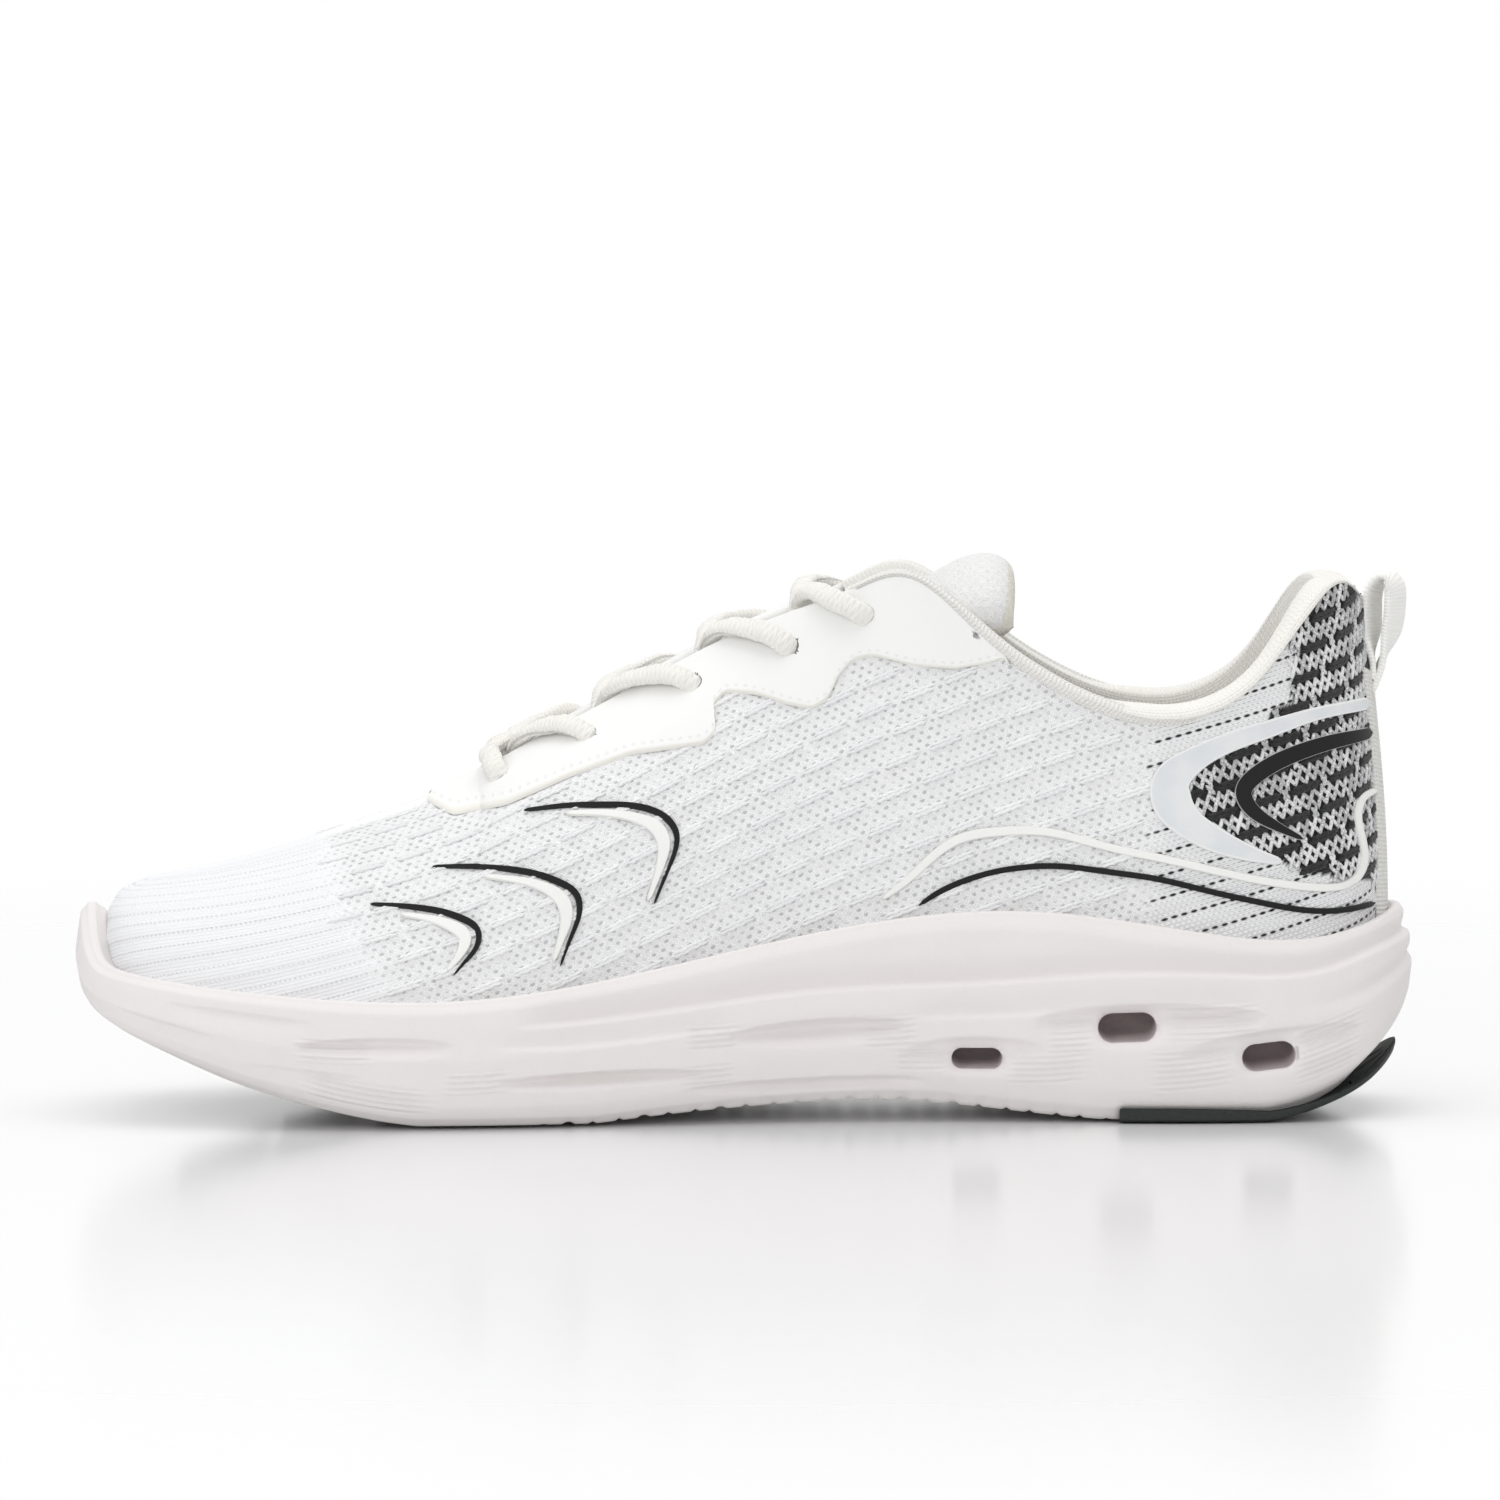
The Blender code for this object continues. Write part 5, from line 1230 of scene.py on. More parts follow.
def sole_relief(x, z):
    """How far the side wall stands out at each place of the side view: creases, flutes and window lips."""
    relief = np.zeros_like(x)
    for crease, start, end, depth in CREASES:
        strength = smooth_step(x, start, start + 12) * (1 - smooth_step(x, end - 10, end))
        relief -= depth * strength * valley(z - crease(np.clip(x, crease.x[0], crease.x[-1])), 3.2, 0.7)
    for start, end, top0, top1, low0, low1, depth in FLUTES:
        share = np.clip((x - start) / (end - start), 0, 1)
        top, low = top0 + share * (top1 - top0), low0 + share * (low1 - low0)
        ends = np.sin(math.pi * share) ** 0.5 * ((x > start) & (x < end))
        middle, half = (top + low) / 2, (top - low) / 2 * (0.35 + 0.65 * ends)
        inside = np.clip((z - middle) / half / 2 + 0.5, 0, 1)
        relief -= FLUTE_DEPTH * depth * ends * np.sin(math.pi * inside**2.4) ** 0.8
    for (x0, z0), (x1, z1) in TOE_CREASES:
        share = np.clip((x - x0) / (x1 - x0), 0, 1)
        ends = np.sin(math.pi * share) ** 0.5
        relief -= TOE_CREASE_DEPTH * ends * valley(z - (z0 + share * (z1 - z0)), 0.5, 2.2)
    for window in WINDOWS:
        relief -= WINDOW_LIP * np.exp(-np.maximum(window_distance(x, z, window), 0) / 0.8)
    return relief


def ridge_fields(x, z):
    """(strength, level) of the fine ridges: they follow lines of equal level, and fade out at the ends."""
    strength, level = np.zeros_like(x), z.copy()
    for start, end, low, high, slope in RIDGES:
        middle = (start + end) / 2
        here = z - slope * (x - middle) - 0.004 * (x - middle) ** 2
        along, across = (x - middle) / (end - start) * 2, (here - (low + high) / 2) / (high - low) * 2
        local = smooth_step(1.15 - np.abs(along), 0, 0.5) * smooth_step(1.2 - np.abs(across), 0, 0.35)
        level = np.where(local > strength, here, level)
        strength = np.maximum(strength, local)
    return strength, level


def wall_outset(share, x):
    """The side wall's inset by its share of the height: tucked in at the ground, rolled at the rim."""
    inset = np.interp(share, *np.array(WALL_PROFILE).T)
    lobes = 1.1 * np.exp(-(((share - 0.62) / 0.055) ** 2)) * smooth_step(x, 120, 144)
    return inset + lobes


def sole_ring(inset, height, t, side):
    flat = outline(t, side) - inset[..., None] * outward(t, side)
    return np.concatenate([flat, height[..., None]], -1)


def ground_side(x):
    return np.maximum(SOLE_BOTTOM(x), 0)


def wall_rings(t, side, low, rim):
    """Rings up the sculpted side wall, and the (strength, level) of the fine ridges at their points."""
    x = outline(t, side)[:, 0]
    shares = np.r_[0, 0.02, np.linspace(0.045, 0.985, 100), 1.0][:, None]
    inset = smooth_rows(wall_outset(shares, x), 3)
    rise = shares * (rim - low)
    height = low + rise
    notches = (wave(x, RIPPLE_PITCH) > 0.75) * smooth_step(x, -45, -40) * (1 - smooth_step(x, 78, 82))
    height[:2] += FOAM_NOTCH * np.array([[1], [0.8]]) * notches
    inset += 1.2 * smooth_step(x, 82.5, 84) * np.exp(-((rise / 3.4) ** 4))
    across = np.broadcast_to(x, height.shape)
    strength, level = ridge_fields(across, height)
    relief = sole_relief(across, height) + RIDGE_HEIGHT * strength * wave(level, RIDGE_PITCH)
    keep = smooth_step(shares, 0.0, 0.1) * (1 - smooth_step(shares, 0.93, 0.99))
    return [sole_ring(*ring, t, side) for ring in zip(inset - relief * keep, height)], strength, level


def add_midsole(finish, inside):
    """The whole foam: bottom with grooves, sculpted side wall, rolled rim and the cup inside it."""
    along = arc_lengths(outline(WALL_T, MEDIAL))
    t, side = round_the_foot(np.interp(np.linspace(0, along[-1], 345), along, WALL_T))
    x = outline(t, side)[:, 0]
    rim = rim_height(x, t, side)
    rings, strength, level = wall_rings(t, side, ground_side(x) + FOAM_LIFT, rim)
    angles = np.radians((30, 60, 90, 120, 150))
    roll = [(RIM_INSET + RIM_WIDTH / 2 * (1 - math.cos(turn)), -0.55 * math.sin(turn)) for turn in angles]
    roll += [(RIM_INSET + RIM_WIDTH, 0.1), (UPPER_INSET - 0.6, 0.9), (UPPER_INSET + 0.3, 2.2)]
    rings += [sole_ring(np.full_like(x, inset), rim - drop, t, side) for inset, drop in roll]
    rings.append(sole_ring(np.full_like(x, UPPER_INSET + 0.4), FOOTBED(x), t, side))
    rows, columns = len(rings), len(t)
    points, faces = np.concatenate(rings), grid_faces(rows, columns, closed=True)
    points, faces = capped(points, faces, 0, columns, bottom_height)
    points, faces = capped(points, faces, (rows - 1) * columns, columns, lambda x, y, z: z)
    values = {"ridge": strength, "level": level}
    values = {key: np.pad(value.ravel(), (0, len(points) - value.size)) for key, value in values.items()}
    made = add_mesh("foam_body", points, faces, finish, values)
    face_outward(made, away_from_middle(made))
    # Windows in both walls, lined with `inside`: darker foam as their painted shade.
    for word, direction in SIDES.items():
        for number, window in enumerate(WINDOWS):
            cut_window(made, window, direction, f"{word}_{number}", inside)
    return made


def add_insole(finish):
    """The cloth top of the insole: it fills the outline inside the linings and curls up at its edge."""
    t = np.linspace(0.012, 0.988, 240)
    across = np.linspace(-1, 1, 61)
    near, far = ((outline(t, side) - INSOLE_INSET * outward(t, side))[:, None] for side in (MEDIAL, LATERAL))
    share = ((across + 1) / 2)[:, None]
    flat = near * (1 - share) + far * share
    cupped = 1.6 * np.abs(across) ** 8 + 1.2 * smooth_step(np.abs(2 * t - 1)[:, None], 0.9, 0.99)
    height = FOOTBED(flat[..., 0]) + INSOLE_TOP + cupped
    values = {"along": flat[..., 0], "up": flat[..., 1]}
    grid = np.concatenate([flat, height[..., None]], -1)
    return grid_mesh("insole_top", grid, finish, values, outside=lambda p: Vector((0, 0, 1)))


def capped(points, faces, start, columns, height, strips=24):
    """Closes a ring of points with strips across the shoe, whose height may vary."""
    half = columns // 2
    ring = points[start : start + columns]
    near = ring[: half + 1]
    far = ring[np.r_[0, np.arange(columns - 1, half - 1, -1)]]
    shares = np.linspace(0, 1, strips + 1)[1:-1]
    inner = near[1:-1, None] + shares[None, :, None] * (far[1:-1] - near[1:-1])[:, None]
    inner[..., 2] = height(inner[..., 0], inner[..., 1], inner[..., 2])
    first = len(points)
    points = np.vstack([points, inner.reshape(-1, 3)])
    index = np.empty((half - 1, strips + 1), int)
    index[:, 0] = start + np.arange(1, half)
    index[:, -1] = start + columns - np.arange(1, half)
    index[:, 1:-1] = first + np.arange(inner.shape[0] * inner.shape[1]).reshape(inner.shape[:2])
    for a, b in zip(index, index[1:]):
        faces.extend([int(a[k]), int(a[k + 1]), int(b[k + 1]), int(b[k])] for k in range(strips))
    for line, tip in ((index[0], start), (index[-1], start + half)):
        faces.extend([int(line[k]), int(line[k + 1]), tip] for k in range(strips))
    return points, faces


def bottom_height(x, y, z):
    """The foam's underside: a long guide groove, and ripples across the arch."""
    arch = smooth_step(x, -34, -26) * (1 - smooth_step(x, 74, 80))
    groove = GUIDE_GROOVE * np.exp(-(((y - CENTRE(x)) / GUIDE_WIDTH) ** 4))
    return z + arch * (groove + ARCH_RIPPLE * (wave(x, RIPPLE_PITCH) > 0.3))


def cut_window(made, window, side, label, inside):
    """Cuts a slot with round ends into the side wall, and lines it with the finish `inside`, which paints the
    shade in the slot as darker foam.
    """
    x, z, length, height, tilt = window
    straight, turn = (length - height) / 2, math.radians(tilt)
    start = np.radians(np.linspace(-90, 90, 14))
    angle = np.r_[start, start + math.pi]
    along = np.repeat([straight, -straight], len(start)) + height / 2 * np.cos(angle)
    corner_x, corner_z = unturned(along, height / 2 * np.sin(angle), turn)
    wall_y = CENTRE(x) + side * HALF_WIDTH(math.acos(-x / (LENGTH / 2)) / math.pi)
    count = len(angle)
    points = [
        np.column_stack([x + corner_x, np.full(count, wall_y + side * reach), z + corner_z])
        for reach in (-WINDOW_DEPTH, 8)
    ]
    faces = grid_faces(2, count, closed=True) + [list(range(count)), list(range(count, 2 * count))]
    cutter = add_mesh(f"window_{label}", points, faces, inside)
    face_outward(cutter, away_from_middle(cutter))
    subtract(made, cutter)


def subtract(made, cutter):
    modifier = made.modifiers.new("cut", "BOOLEAN")
    modifier.operation, modifier.solver, modifier.object = "DIFFERENCE", "EXACT", cutter
    modifier.material_mode = "TRANSFER"
    bpy.context.view_layer.objects.active = made
    bpy.ops.object.modifier_apply(modifier=modifier.name)
    bpy.data.objects.remove(cutter)


def add_tread(name, start, end, inset, thickness, lug, finish):
    """A rubber pad with a lugged underside: `lug(x, y)` is the depth of its grooves at each place."""
    x = np.linspace(start, end, int((end - start) / 0.7) + 2)
    samples = np.linspace(0, 1, 600)
    rings = [outline(samples, side) - inset * outward(samples, side) for side in (MEDIAL, LATERAL)]
    near, far = (np.interp(x, *ring.T)[:, None] for ring in rings)
    shares = np.linspace(0, 1, 110)
    y = near + shares * (far - near)
    xx = np.broadcast_to(x[:, None], y.shape)
    low = ground_side(xx)
    rim_away = np.minimum(shares, 1 - shares) * np.abs(far - near)
    bevel = 0.6 * np.clip(1 - rim_away / 0.8, 0, 1)
    under = np.stack([xx, y, low + np.maximum(lug(xx, y) * smooth_step(rim_away, 1.5, 2.2), bevel)], -1)
    over = np.stack([xx, y, low + thickness(xx)], -1)
    rows, columns = y.shape
    ids = np.arange(rows * columns).reshape(rows, columns)
    border = np.r_[ids[0], ids[1:, -1], ids[-1, -2::-1], ids[-2:0:-1, 0]]
    faces = grid_faces(rows, columns) + grid_faces(rows, columns, start=rows * columns)
    for a, b in zip(border.tolist(), np.roll(border, -1).tolist()):
        faces.append([a, b, b + rows * columns, a + rows * columns])
    made = add_mesh(name, np.concatenate([under, over]), faces, finish)
    face_outward(made, away_from_middle(made))
    made.data.set_sharp_from_angle(angle=math.radians(50))
    return made


def heel_pad_thickness(x):
    return HEEL_PAD_THICKNESS - HEEL_PAD_THINNING * smooth_step(x, 95, 145)


def heel_lugs(x, y):
    """Chevron bars with a split down the middle."""
    away = np.abs(y - CENTRE(x))
    return LUG_DEPTH * ((away < 2.2) | (wave(x + 0.55 * away, HEEL_LUG_PITCH) > 0.35))


def forefoot_lugs(x, y):
    """Small blocks between crossing grooves."""
    one, two = (wave(x + slant * y, FOREFOOT_LUG_PITCH) > 0.62 for slant in (0.7, -0.7))
    return LUG_DEPTH * (one | two)


# Finishes.
WHITE = (0.955, 0.957, 0.96)
# The pores' grey: painted shade in the holes of the knit.
PORE_SHADE = (0.60, 0.61, 0.63)


def pores(course, row, step, pitch, wide, tall):
    """1 at the holes of a staggered knit, 0 between them."""
    line = row / pitch
    number = line.floor()
    stagger = (number * 0.5).math("FRACT")
    across = (course / step + stagger).wrapped() * step
    up = line.wrapped() * pitch
    return (across / wide).hypot(up / tall).rising(1.25, 0.55), across, up


def knit_paint():
    """White knit: open pores amidships, fine courses at the toe, ribs with black stitches at the heel. The
    greys in the pores, the toe's dots and the heel's ticks are painted shade in those hollows.
    """
    paint = Paint("white_knit", 0.85, sheen_weight=0.15)
    along, up = paint.value("along"), paint.value("up")
    toe, heel, mesh = paint.value("toe"), paint.value("heel"), paint.value("mesh")
    open_share = 1 - paint.value("calm")
    course, row = turned(along, up, KNIT_SLOPE)
    fuzz = paint.grain(0.35, 3.0)

    wander, depth = paint.grain(2.2, 2.0) - 0.5, paint.grain(3.1, 2.0).rising(0.3, 0.62)
    # Pores: sunk in the bump and greyed in the colour as painted shade in each hole, more where `depth` is
    # high. The vee ripple round them is a bump and also a faint painted shading.
    hole, across, rise = pores(course + wander * 0.9, row + wander * 0.6, 2.3, RIB_ROW / 4, 0.50, 0.36)
    hole = hole * (depth * 0.7 + 0.35) * open_share
    vee = (across.abs() * 1.2 + rise).wave(0.8)
    body_height = vee * open_share * 0.3 + hole * -1.1

    # Toe: fine dots, greyed as painted shade in them.
    plain = pores(course, row, 1.15, 0.78, 0.20, 0.13)[0]
    dotted = pores(course, row, 1.15, 3.0, 0.34, 0.26)[0]
    toe_dark = plain * 0.15 + dotted * open_share * 0.42
    toe_height = row.wave(0.78) * open_share * 0.2 + dotted * open_share * -0.4

    course, row = turned(along, up, HEEL_SLOPE)
    # Heel: fine ticks sunk in the bump and greyed as painted shade. The black stitches are the knit's own black
    # yarn.
    ticks = pores(course, row, 1.3, 0.95, 0.36, 0.14)[0]
    black = pores(course, row, 2.3, 4.75, 0.86, 0.36)[0]
    heel_height = row.wave(0.95) * 0.6 + ticks * -0.5

    # White, greyed by the painted shade of the pores and the vee ripple, with a random fuzz of tone.
    body = paint.mix(hole * 0.95 + vee * 0.04 + fuzz * 0.05, WHITE, PORE_SHADE)
    # The toe's white is set darker than the body's as painted shade, to hold down the strong light that falls
    # on the toe. Its dots are greyed as painted shade.
    tip = paint.mix(toe_dark + fuzz * 0.06, (0.885, 0.89, 0.903), (0.57, 0.59, 0.63))
    # The ticks' grey here is painted shade in them.
    ribbed = paint.mix(ticks * 0.6, (0.94, 0.945, 0.95), (0.50, 0.51, 0.53))
    ribbed = paint.mix(black, ribbed, (0.012, 0.012, 0.013))
    colour = paint.mix(heel, paint.mix(toe, body, tip), ribbed)
    paint.colour(paint.mix(mesh, colour, (0.02, 0.02, 0.021)))
    height = body_height * (1 - toe) * (1 - heel) + toe_height * toe + heel_height * heel
    paint.bump(height + fuzz * 0.4, 0.22)
    return paint.made


def yarn_paint(name, light, dark, roughness=0.85):
    """Marled yarn: two tones twisted together, with a fine fuzz."""
    paint = Paint(name, roughness, sheen_weight=0.2)
    tint = paint.value("tint")
    fleck = paint.grain(0.45, 3.0)
    paint.colour(paint.mix((fleck + tint * 0.22).rising(0.34, 0.66), dark, light))
    paint.bump(paint.grain(0.3, 2.0), 0.25)
    return paint.made


def film_paint(name, face, edge, roughness, edge_width=0.4, cloud=None, gloss=0.5):
    """Thin bonded film: a satin face, clouded if a second tone is given, and an edge of another tone."""
    paint = Paint(name, roughness, specular_ior_level=gloss)
    rim = paint.value("edge").rising(edge_width * 0.6, edge_width)
    if cloud:
        face = paint.mix(paint.grain(9.0, 2.0).rising(0.35, 0.7), face, cloud)
    paint.colour(paint.mix(rim, edge, face))
    paint.bump(paint.grain(0.5, 2.0) + paint.grain(3.0) * 0.6, 0.05)
    return paint.made


def eyestay_paint():
    """Off-white film with a cream outline and a line of small needle marks beside its edge."""
    paint = Paint("eyestay_film", 0.5, coat_weight=0.1, coat_roughness=0.3)
    edge, along = paint.value("edge"), paint.value("along")
    outline_share = edge.rising(0.6, 0.4)
    mark = ((along / 2.1).wrapped() * 2.1 / 0.4).hypot((edge - 1.25) / 0.3).rising(1.2, 0.6)
    colour = paint.mix(outline_share, (0.89, 0.89, 0.875), (0.85, 0.835, 0.78))
    paint.colour(paint.mix(mark * 0.12, colour, (0.5, 0.49, 0.46)))
    paint.bump(mark * -0.6 + paint.grain(2.5) * 0.25, 0.15)
    return paint.made


def tape_paint(name, face, groove, pitch, slant=0.9, depth=0.12):
    """Narrow woven or knitted tape with ribs across it, the groove tone painted as shade in the valleys between
    the ribs.
    """
    paint = Paint(name, 0.85, sheen_weight=0.15)
    along, across = paint.value("along"), paint.value("across")
    rib, thread = (along + across * slant).wave(pitch), across.wave(0.55)
    # The groove tone lies in the rib valleys: painted shade.
    paint.colour(paint.mix(rib.rising(-0.2, -1.0) * 0.6 + paint.grain(0.6) * 0.1, face, groove))
    paint.bump(rib + thread * 0.4, depth)
    return paint.made


def lace_paint():
    paint = Paint("lace_braid", 0.85, sheen_weight=0.2)
    along, around = paint.value("along"), paint.value("around")
    one = (along * (2 * math.pi / 1.1) + around * 3.0).sin()
    two = (along * (2 * math.pi / 1.1) - around * 3.0).sin()
    weave = one.math("MAXIMUM", two)
    # The darker tone sits in the valleys of the braid: painted shade between its stitches.
    paint.colour(paint.mix(weave.rising(0.5, -0.5) * 0.3, (0.89, 0.875, 0.83), (0.78, 0.76, 0.70)))
    paint.bump(weave + paint.grain(0.3) * 0.4, 0.08)
    return paint.made


def cloth_paint(name, face, groove, pitch, depth=0.18, roughness=0.9):
    """Fine plain knit for linings, its stitch holes greyed as painted shade."""
    paint = Paint(name, roughness, sheen_weight=0.25)
    along, up = paint.value("along"), paint.value("up")
    stitch = pores(along, up, pitch, pitch * 0.8, pitch * 0.2, pitch * 0.16)[0]
    # The groove tone in the stitch holes is painted shade.
    paint.colour(paint.mix(stitch * 0.3 + paint.grain(0.7) * 0.15, face, groove))
    loops = along.wave(pitch) + up.wave(pitch * 0.8)
    paint.bump(loops * 0.4 + stitch * -1.0, depth)
    return paint.made


def tongue_paint():
    """Soft white knit with wide wales, its holes greyed as painted shade."""
    paint = Paint("tongue_knit", 0.88, sheen_weight=0.2)
    along, up = paint.value("along"), paint.value("up")
    hole, wale = pores(along, up, 1.9, 1.5, 0.36, 0.32)[0], up.wave(1.5)
    # The grey in the holes is painted shade.
    knit = paint.mix(hole * 0.16 + paint.grain(0.5, 3.0) * 0.14, (0.92, 0.92, 0.915), (0.66, 0.66, 0.655))
    paint.colour(paint.mix(paint.value("rear").rising(0.75, 0.78), knit, (0.84, 0.815, 0.74)))
    paint.bump(wale * 0.2 + hole * -0.4 + paint.grain(0.45, 3.0) * 1.8, 0.3)
    return paint.made


def foam_paint():
    """Moulded foam with a fine matt grain."""
    paint = Paint("moulded_foam", 0.55, specular_ior_level=0.35)
    paint.colour(paint.mix(paint.grain(14.0, 2.0), (0.83, 0.795, 0.785), (0.805, 0.77, 0.762)))
    paint.bump(paint.value("level").wave(RIDGE_PITCH) * paint.value("ridge"), 0.1)
    paint.bump(paint.grain(0.35, 3.0), 0.07)
    return paint.made


def rubber_paint():
    paint = Paint("outsole_rubber", 0.6, specular_ior_level=0.4)
    grain = paint.grain(0.8, 3.0)
    paint.colour(paint.mix(grain, (0.012, 0.016, 0.015), (0.03, 0.036, 0.034)))
    paint.bump(grain, 0.12)
    return paint.made


def plain_paint(name, light, dark, size, roughness=0.8, depth=0.1):
    """A mottled finish for parts that are mostly hidden."""
    paint = Paint(name, roughness)
    grain = paint.grain(size, 3.0)
    paint.colour(paint.mix(grain, light, dark))
    paint.bump(grain, depth)
    return paint.made


# The shoe.
def bends(made, node_slot, *nodes):
    """A piece that runs past the toe joint: hides the CAD parts it stands for and bakes its transform into its
    mesh.
    """
    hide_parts(*nodes)
    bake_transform(made)


def rides(made, body, node_slot, *nodes):
    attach(made, body)
    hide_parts(*nodes)


def build_upper():
    knit = knit_paint()
    bends(add_knit(knit), "knit", "knit_quarters", "knit_toe", "knit_vamp_fold")
    rib_yarn = yarn_paint("rib_yarn", (0.95, 0.953, 0.957), (0.86, 0.865, 0.875))
    bends(add_ribs(rib_yarn), "knit")
    loop_yarn = yarn_paint("loop_yarn", (0.86, 0.86, 0.86), (0.42, 0.42, 0.425))
    dash_yarn = yarn_paint("dash_yarn", (0.022, 0.022, 0.023), (0.006, 0.006, 0.006), 0.75)
    for made in add_heel_yarns(loop_yarn, dash_yarn):
        rides(made, "rearfoot", "knit")


def build_trim():
    black = film_paint("black_film", (0.010, 0.010, 0.0105), (0.02, 0.02, 0.02), 0.5, 0.2, gloss=0.22)
    dark = film_paint("chevron_film", (0.012, 0.012, 0.0125), (0.45, 0.45, 0.45), 0.5, 0.22, gloss=0.2)
    cream = film_paint("cream_film", (0.88, 0.88, 0.86), (0.80, 0.80, 0.77), 0.5, 0.35)
    pearl = film_paint("pearl_film", (0.70, 0.73, 0.755), (0.84, 0.845, 0.84), 0.38, 0.6, (0.77, 0.78, 0.785))
    films = {"heel_wing": (pearl, "pearl_film"), "heel_chevron": (dark, "black_film")}
    for name, stations in OVERLAYS.items():
        finish, slot = films.get(name, (black, "black_film") if "black" in name else (cream, "cream_film"))
        for word, side in SIDES.items():
            made = add_overlay(f"{name}_film_{word}", side, finish, stations)
            if "stroke" in name:
                bends(made, slot, f"{name}_{word}")
            else:
                rides(made, "rearfoot", slot, f"{name}_{word}")
    film, tape = eyestay_paint(), tape_paint("collar_tape", (0.91, 0.90, 0.865), (0.82, 0.805, 0.755), 1.0)
    for word, side in SIDES.items():
        eyestay = add_eyestay(f"eyestay_film_{word}", side, film)
        cut_eyelets(eyestay, EYELETS, EYELET_RADIUS, 0.55)
        cut_eyelets(eyestay, (SPARE_EYELET,), 0.6 * SPARE_RADIUS, 0.4)
        bends(eyestay, "cream_film", f"eyestay_{word}")
        binding = add_binding(f"collar_tape_{word}", side, tape)
        rides(binding, "rearfoot", "webbing", f"collar_binding_{word}")
    # Cream lining cloth. Its tone is partly painted light, set high to lift the lining that lies in the shade
    # inside the collar.
    lining = cloth_paint("collar_lining", (0.93, 0.915, 0.87), (0.80, 0.78, 0.72), 0.9, 0.08)
    rides(add_lining(lining), "rearfoot", "lining", "collar_lining")


def build_tongue():
    knit, lining = tongue_paint(), cloth_paint("tongue_lining", (0.88, 0.86, 0.80), (0.72, 0.70, 0.63), 1.0)
    stations = station_of_top(np.linspace(*TONGUE_SPAN, 12))
    middle = refine(np.array([across_tongue(t, 13) for t in stations]), 7)
    middle -= TONGUE_THICKNESS / 2 * grid_normals(middle)
    face, back = cushion("tongue_pad", middle, TONGUE_THICKNESS, knit, lining)
    rides(face, "rearfoot", "knit", "tongue_face", "tongue_padding")
    rides(back, "rearfoot", "lining", "tongue_lining")
    rows = [across_tab(x, z, half, 13) for x, z, _, half in TAB_MIDDLE]
    thickness = [[[thick]] * 13 for _, _, thick, _ in TAB_MIDDLE]
    tab, thickness = refine(np.array(rows), 10), refine(np.array(thickness, float), 10)[..., 0]
    face, back = cushion("tongue_tab_pad", tab, thickness, knit, lining, 1)
    rides(face, "tongue_tab", "knit", "tongue_tab_face", "tongue_tab_padding")
    rides(back, "tongue_tab", "lining", "tongue_tab_lining")


def build_straps():
    cord = lace_paint()
    tip = plain_paint("lace_tip", (0.80, 0.80, 0.78), (0.74, 0.74, 0.71), 1.5, 0.3, 0.03)
    braid, start, end = add_laces(cord, tip)
    rides(braid, "rearfoot", "lace", "lace")
    rides(start, "rearfoot", "aglet", "aglet_start")
    rides(end, "rearfoot", "aglet", "aglet_end")
    webbing = tape_paint("cream_webbing", (0.86, 0.855, 0.825), (0.70, 0.685, 0.64), 0.95, 0.0)
    rides(add_heel_tape(webbing), "rearfoot", "webbing", "heel_tape")
    # Whiter than the heel tape's webbing: partly the loop's own white, and partly painted light that lifts its
    # faces left in shade between the strands.
    ribbon = tape_paint("loop_webbing", (0.97, 0.965, 0.94), (0.92, 0.91, 0.87), 0.8, 0.0, 0.04)
    loop = add_pull_loop(ribbon)
    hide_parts("pull_loop")
    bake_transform(loop)


def build_sole():
    # Darker brown-grey foam: painted shade for the hollows of the windows.
    inside = plain_paint("window_painted_shade", (0.60, 0.54, 0.54), (0.52, 0.465, 0.465), 1.0, 0.7, 0.05)
    bends(add_midsole(foam_paint(), inside), "foam", "midsole_rear", "midsole_forefoot")
    rubber = rubber_paint()
    heel = add_tread("heel_tread", *HEEL_PAD, heel_pad_thickness, heel_lugs, rubber)
    rides(heel, "rearfoot", "rubber", "heel_outsole")
    for node, start, end, inset, body in FOREFOOT_PADS:
        pad = add_tread(node + "_tread", start, end, inset, lambda x: PAD_THICKNESS, forefoot_lugs, rubber)
        rides(pad, body, "rubber", node)


def build_insole():
    cloth = cloth_paint("insole_cloth", (0.82, 0.81, 0.79), (0.62, 0.61, 0.59), 1.3, 0.2)
    bends(add_insole(cloth), "insole_cloth", "insole_cloth_rear", "insole_cloth_forefoot")


def finish_hidden_parts():
    """Finishes for the parts kept from the CAD inside the shoe."""
    finishes = {
        "strobel_board": plain_paint("strobel_cloth", (0.75, 0.74, 0.7), (0.62, 0.61, 0.57), 1.0),
        "insole_foam": plain_paint("insole_foam", (0.62, 0.64, 0.66), (0.5, 0.52, 0.54), 0.9),
        "toe_puff": plain_paint("toe_puff", (0.8, 0.8, 0.78), (0.7, 0.7, 0.68), 1.5, 0.5),
        "heel_counter": plain_paint("heel_counter", (0.8, 0.8, 0.78), (0.7, 0.7, 0.68), 1.5, 0.5),
        "collar_padding": plain_paint("collar_foam", (0.8, 0.78, 0.6), (0.66, 0.64, 0.48), 0.8),
    }
    for name, node in frame["nodes"].items():
        for key, finish in finishes.items():
            if name.startswith(key):
                node.data.materials.clear()
                node.data.materials.append(finish)


# Studio.
def area_light(name, place, size, power):
    data = bpy.data.lights.new(name, "AREA")
    data.shape, data.size, data.size_y, data.energy = "RECTANGLE", size[0], size[1], power
    made = bpy.data.objects.new(name, data)
    made.location = place
    made.rotation_euler = (Vector(LIGHT_TARGET) - Vector(place)).to_track_quat("-Z", "Y").to_euler()
    bpy.context.scene.collection.objects.link(made)
    made.visible_glossy = False


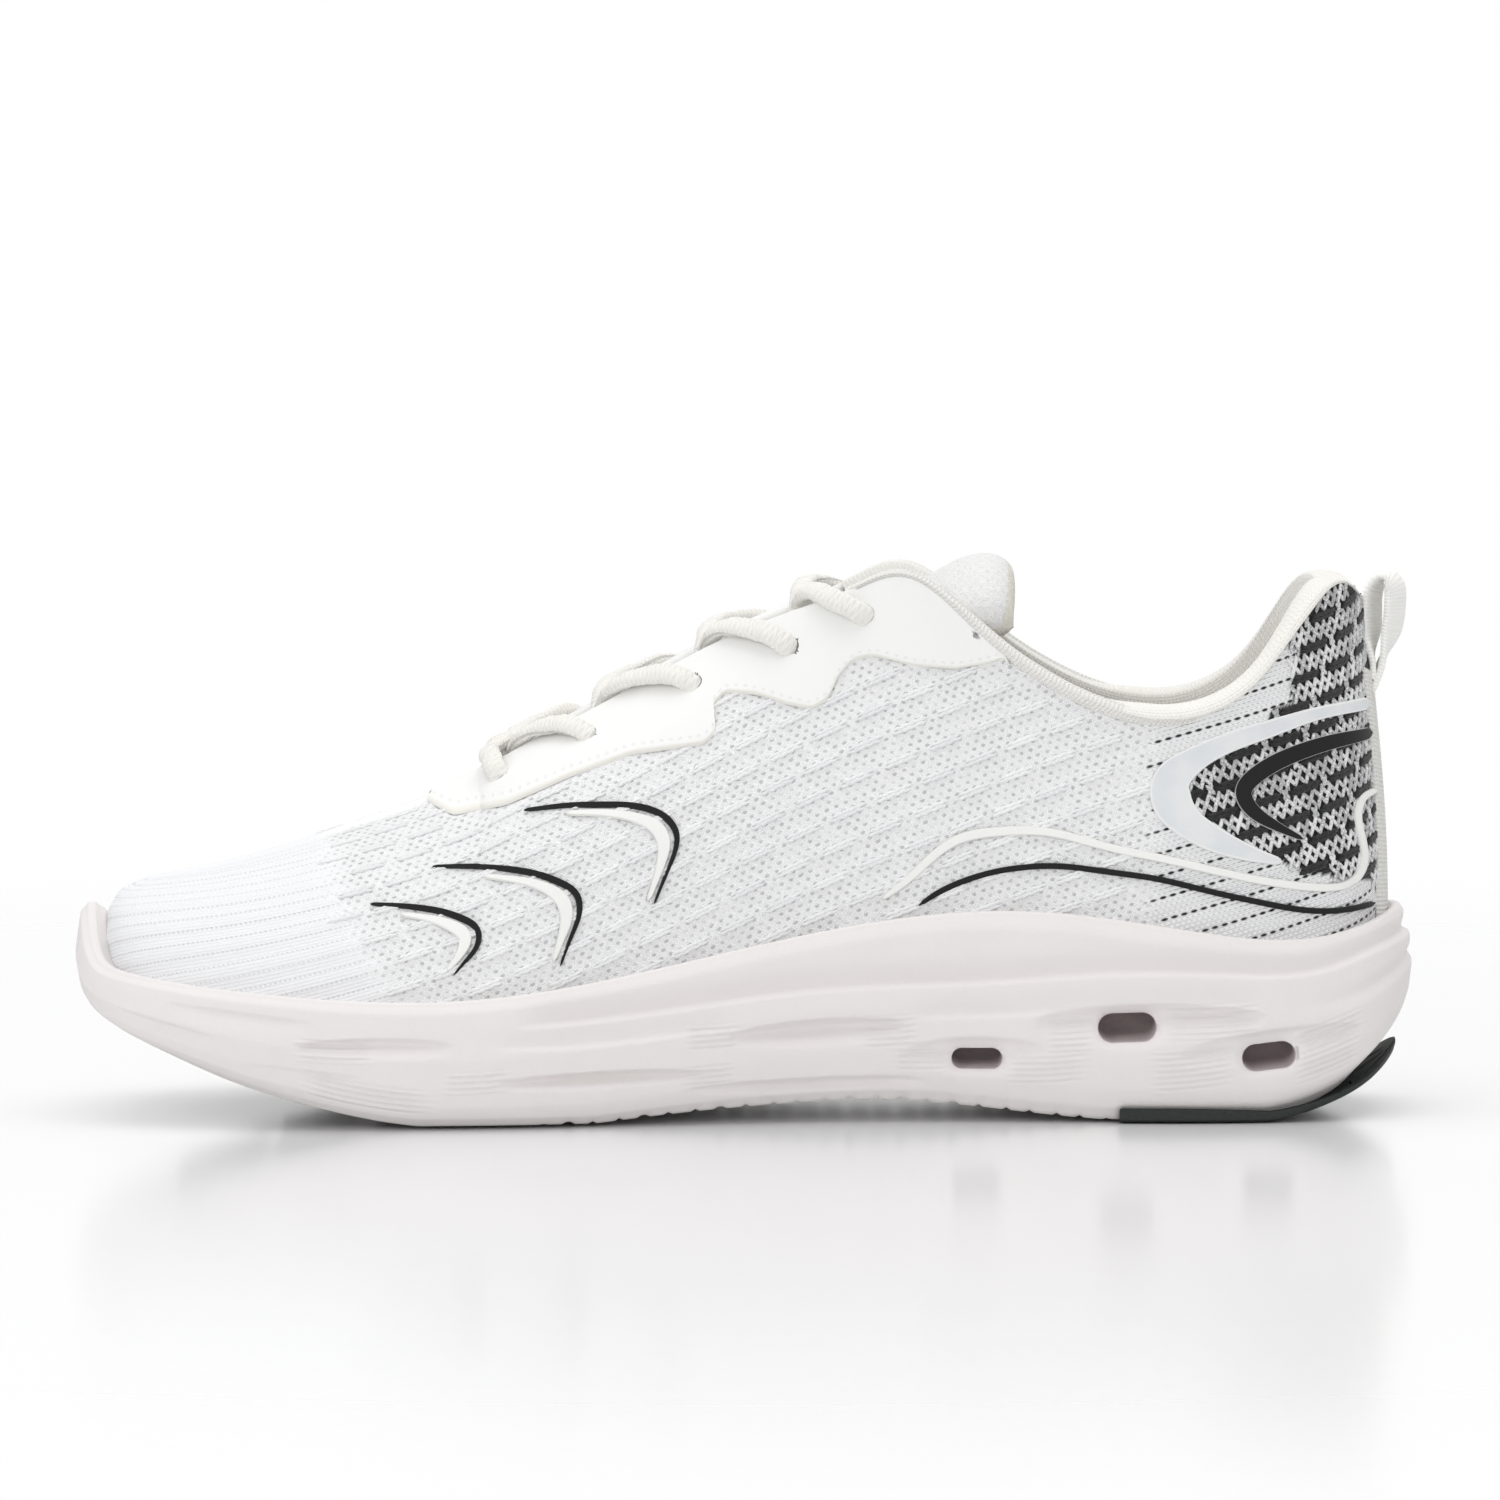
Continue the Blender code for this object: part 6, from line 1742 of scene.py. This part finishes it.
def build_studio():
    """A floor, soft lights, and a background that looks white but lights the shoe less than it shows."""
    scene = bpy.context.scene
    scene.view_settings.view_transform = "Standard"
    world = bpy.data.worlds.new("studio")
    world.use_nodes = True
    nodes, link = world.node_tree.nodes, world.node_tree.links.new
    path, seen, strength = (nodes.new("ShaderNode" + kind) for kind in ("LightPath", "Math", "MapRange"))
    seen.operation = "MAXIMUM"
    for slot, ray in zip(seen.inputs, ("Is Camera Ray", "Is Glossy Ray")):
        link(path.outputs[ray], slot)
    link(seen.outputs[0], strength.inputs["Value"])
    strength.inputs["To Min"].default_value = WORLD_LIGHT
    link(strength.outputs[0], nodes["Background"].inputs["Strength"])
    nodes["Background"].inputs["Color"].default_value = (1, 1, 1, 1)
    scene.world = world
    corners = [(x / MM, y / MM, -0.3) for x, y in ((-6, -6), (6, -6), (6, 6), (-6, 6))]
    add_mesh("floor", corners, [(0, 1, 2, 3)], floor_paint())
    for light in LIGHTS:
        area_light(*light)


def floor_paint():
    """Pale gloss that fades into the white background away from the shoe."""
    paint = Paint("studio_floor", 0.16, specular_ior_level=0.22)
    x, y, _ = paint.place()
    far = x.hypot(y).rising(*FLOOR_FADE)
    paint.colour(paint.mix(paint.grain(60.0), (0.86, 0.86, 0.865), (0.85, 0.85, 0.855)))
    clear = paint.node("ShaderNodeBsdfTransparent")
    fade = paint.node("ShaderNodeMixShader")
    paint.plug(far, fade.inputs["Fac"])
    paint.plug(paint.shader.outputs[0], fade.inputs[1])
    paint.plug(clear.outputs[0], fade.inputs[2])
    paint.plug(fade.outputs[0], paint.tree.nodes["Material Output"].inputs["Surface"])
    return paint.made


def add_camera():
    """A long lens at the medial side, a little above the shoe."""
    scene = bpy.context.scene
    data = bpy.data.cameras.new("camera")
    data.sensor_width = 36
    data.lens = data.sensor_width * CAMERA_DISTANCE / FRAME_WIDTH
    made = bpy.data.objects.new("camera", data)
    scene.collection.objects.link(made)
    target = Vector(CAMERA_TARGET) * MM
    tilt = math.radians(CAMERA_ELEVATION)
    made.location = target + CAMERA_DISTANCE * Vector((0, -math.cos(tilt), math.sin(tilt)))
    made.rotation_euler = (target - made.location).to_track_quat("-Z", "Y").to_euler()
    scene.camera = made


build_upper()
build_trim()
build_tongue()
build_straps()
build_sole()
build_insole()
finish_hidden_parts()
build_studio()
add_camera()
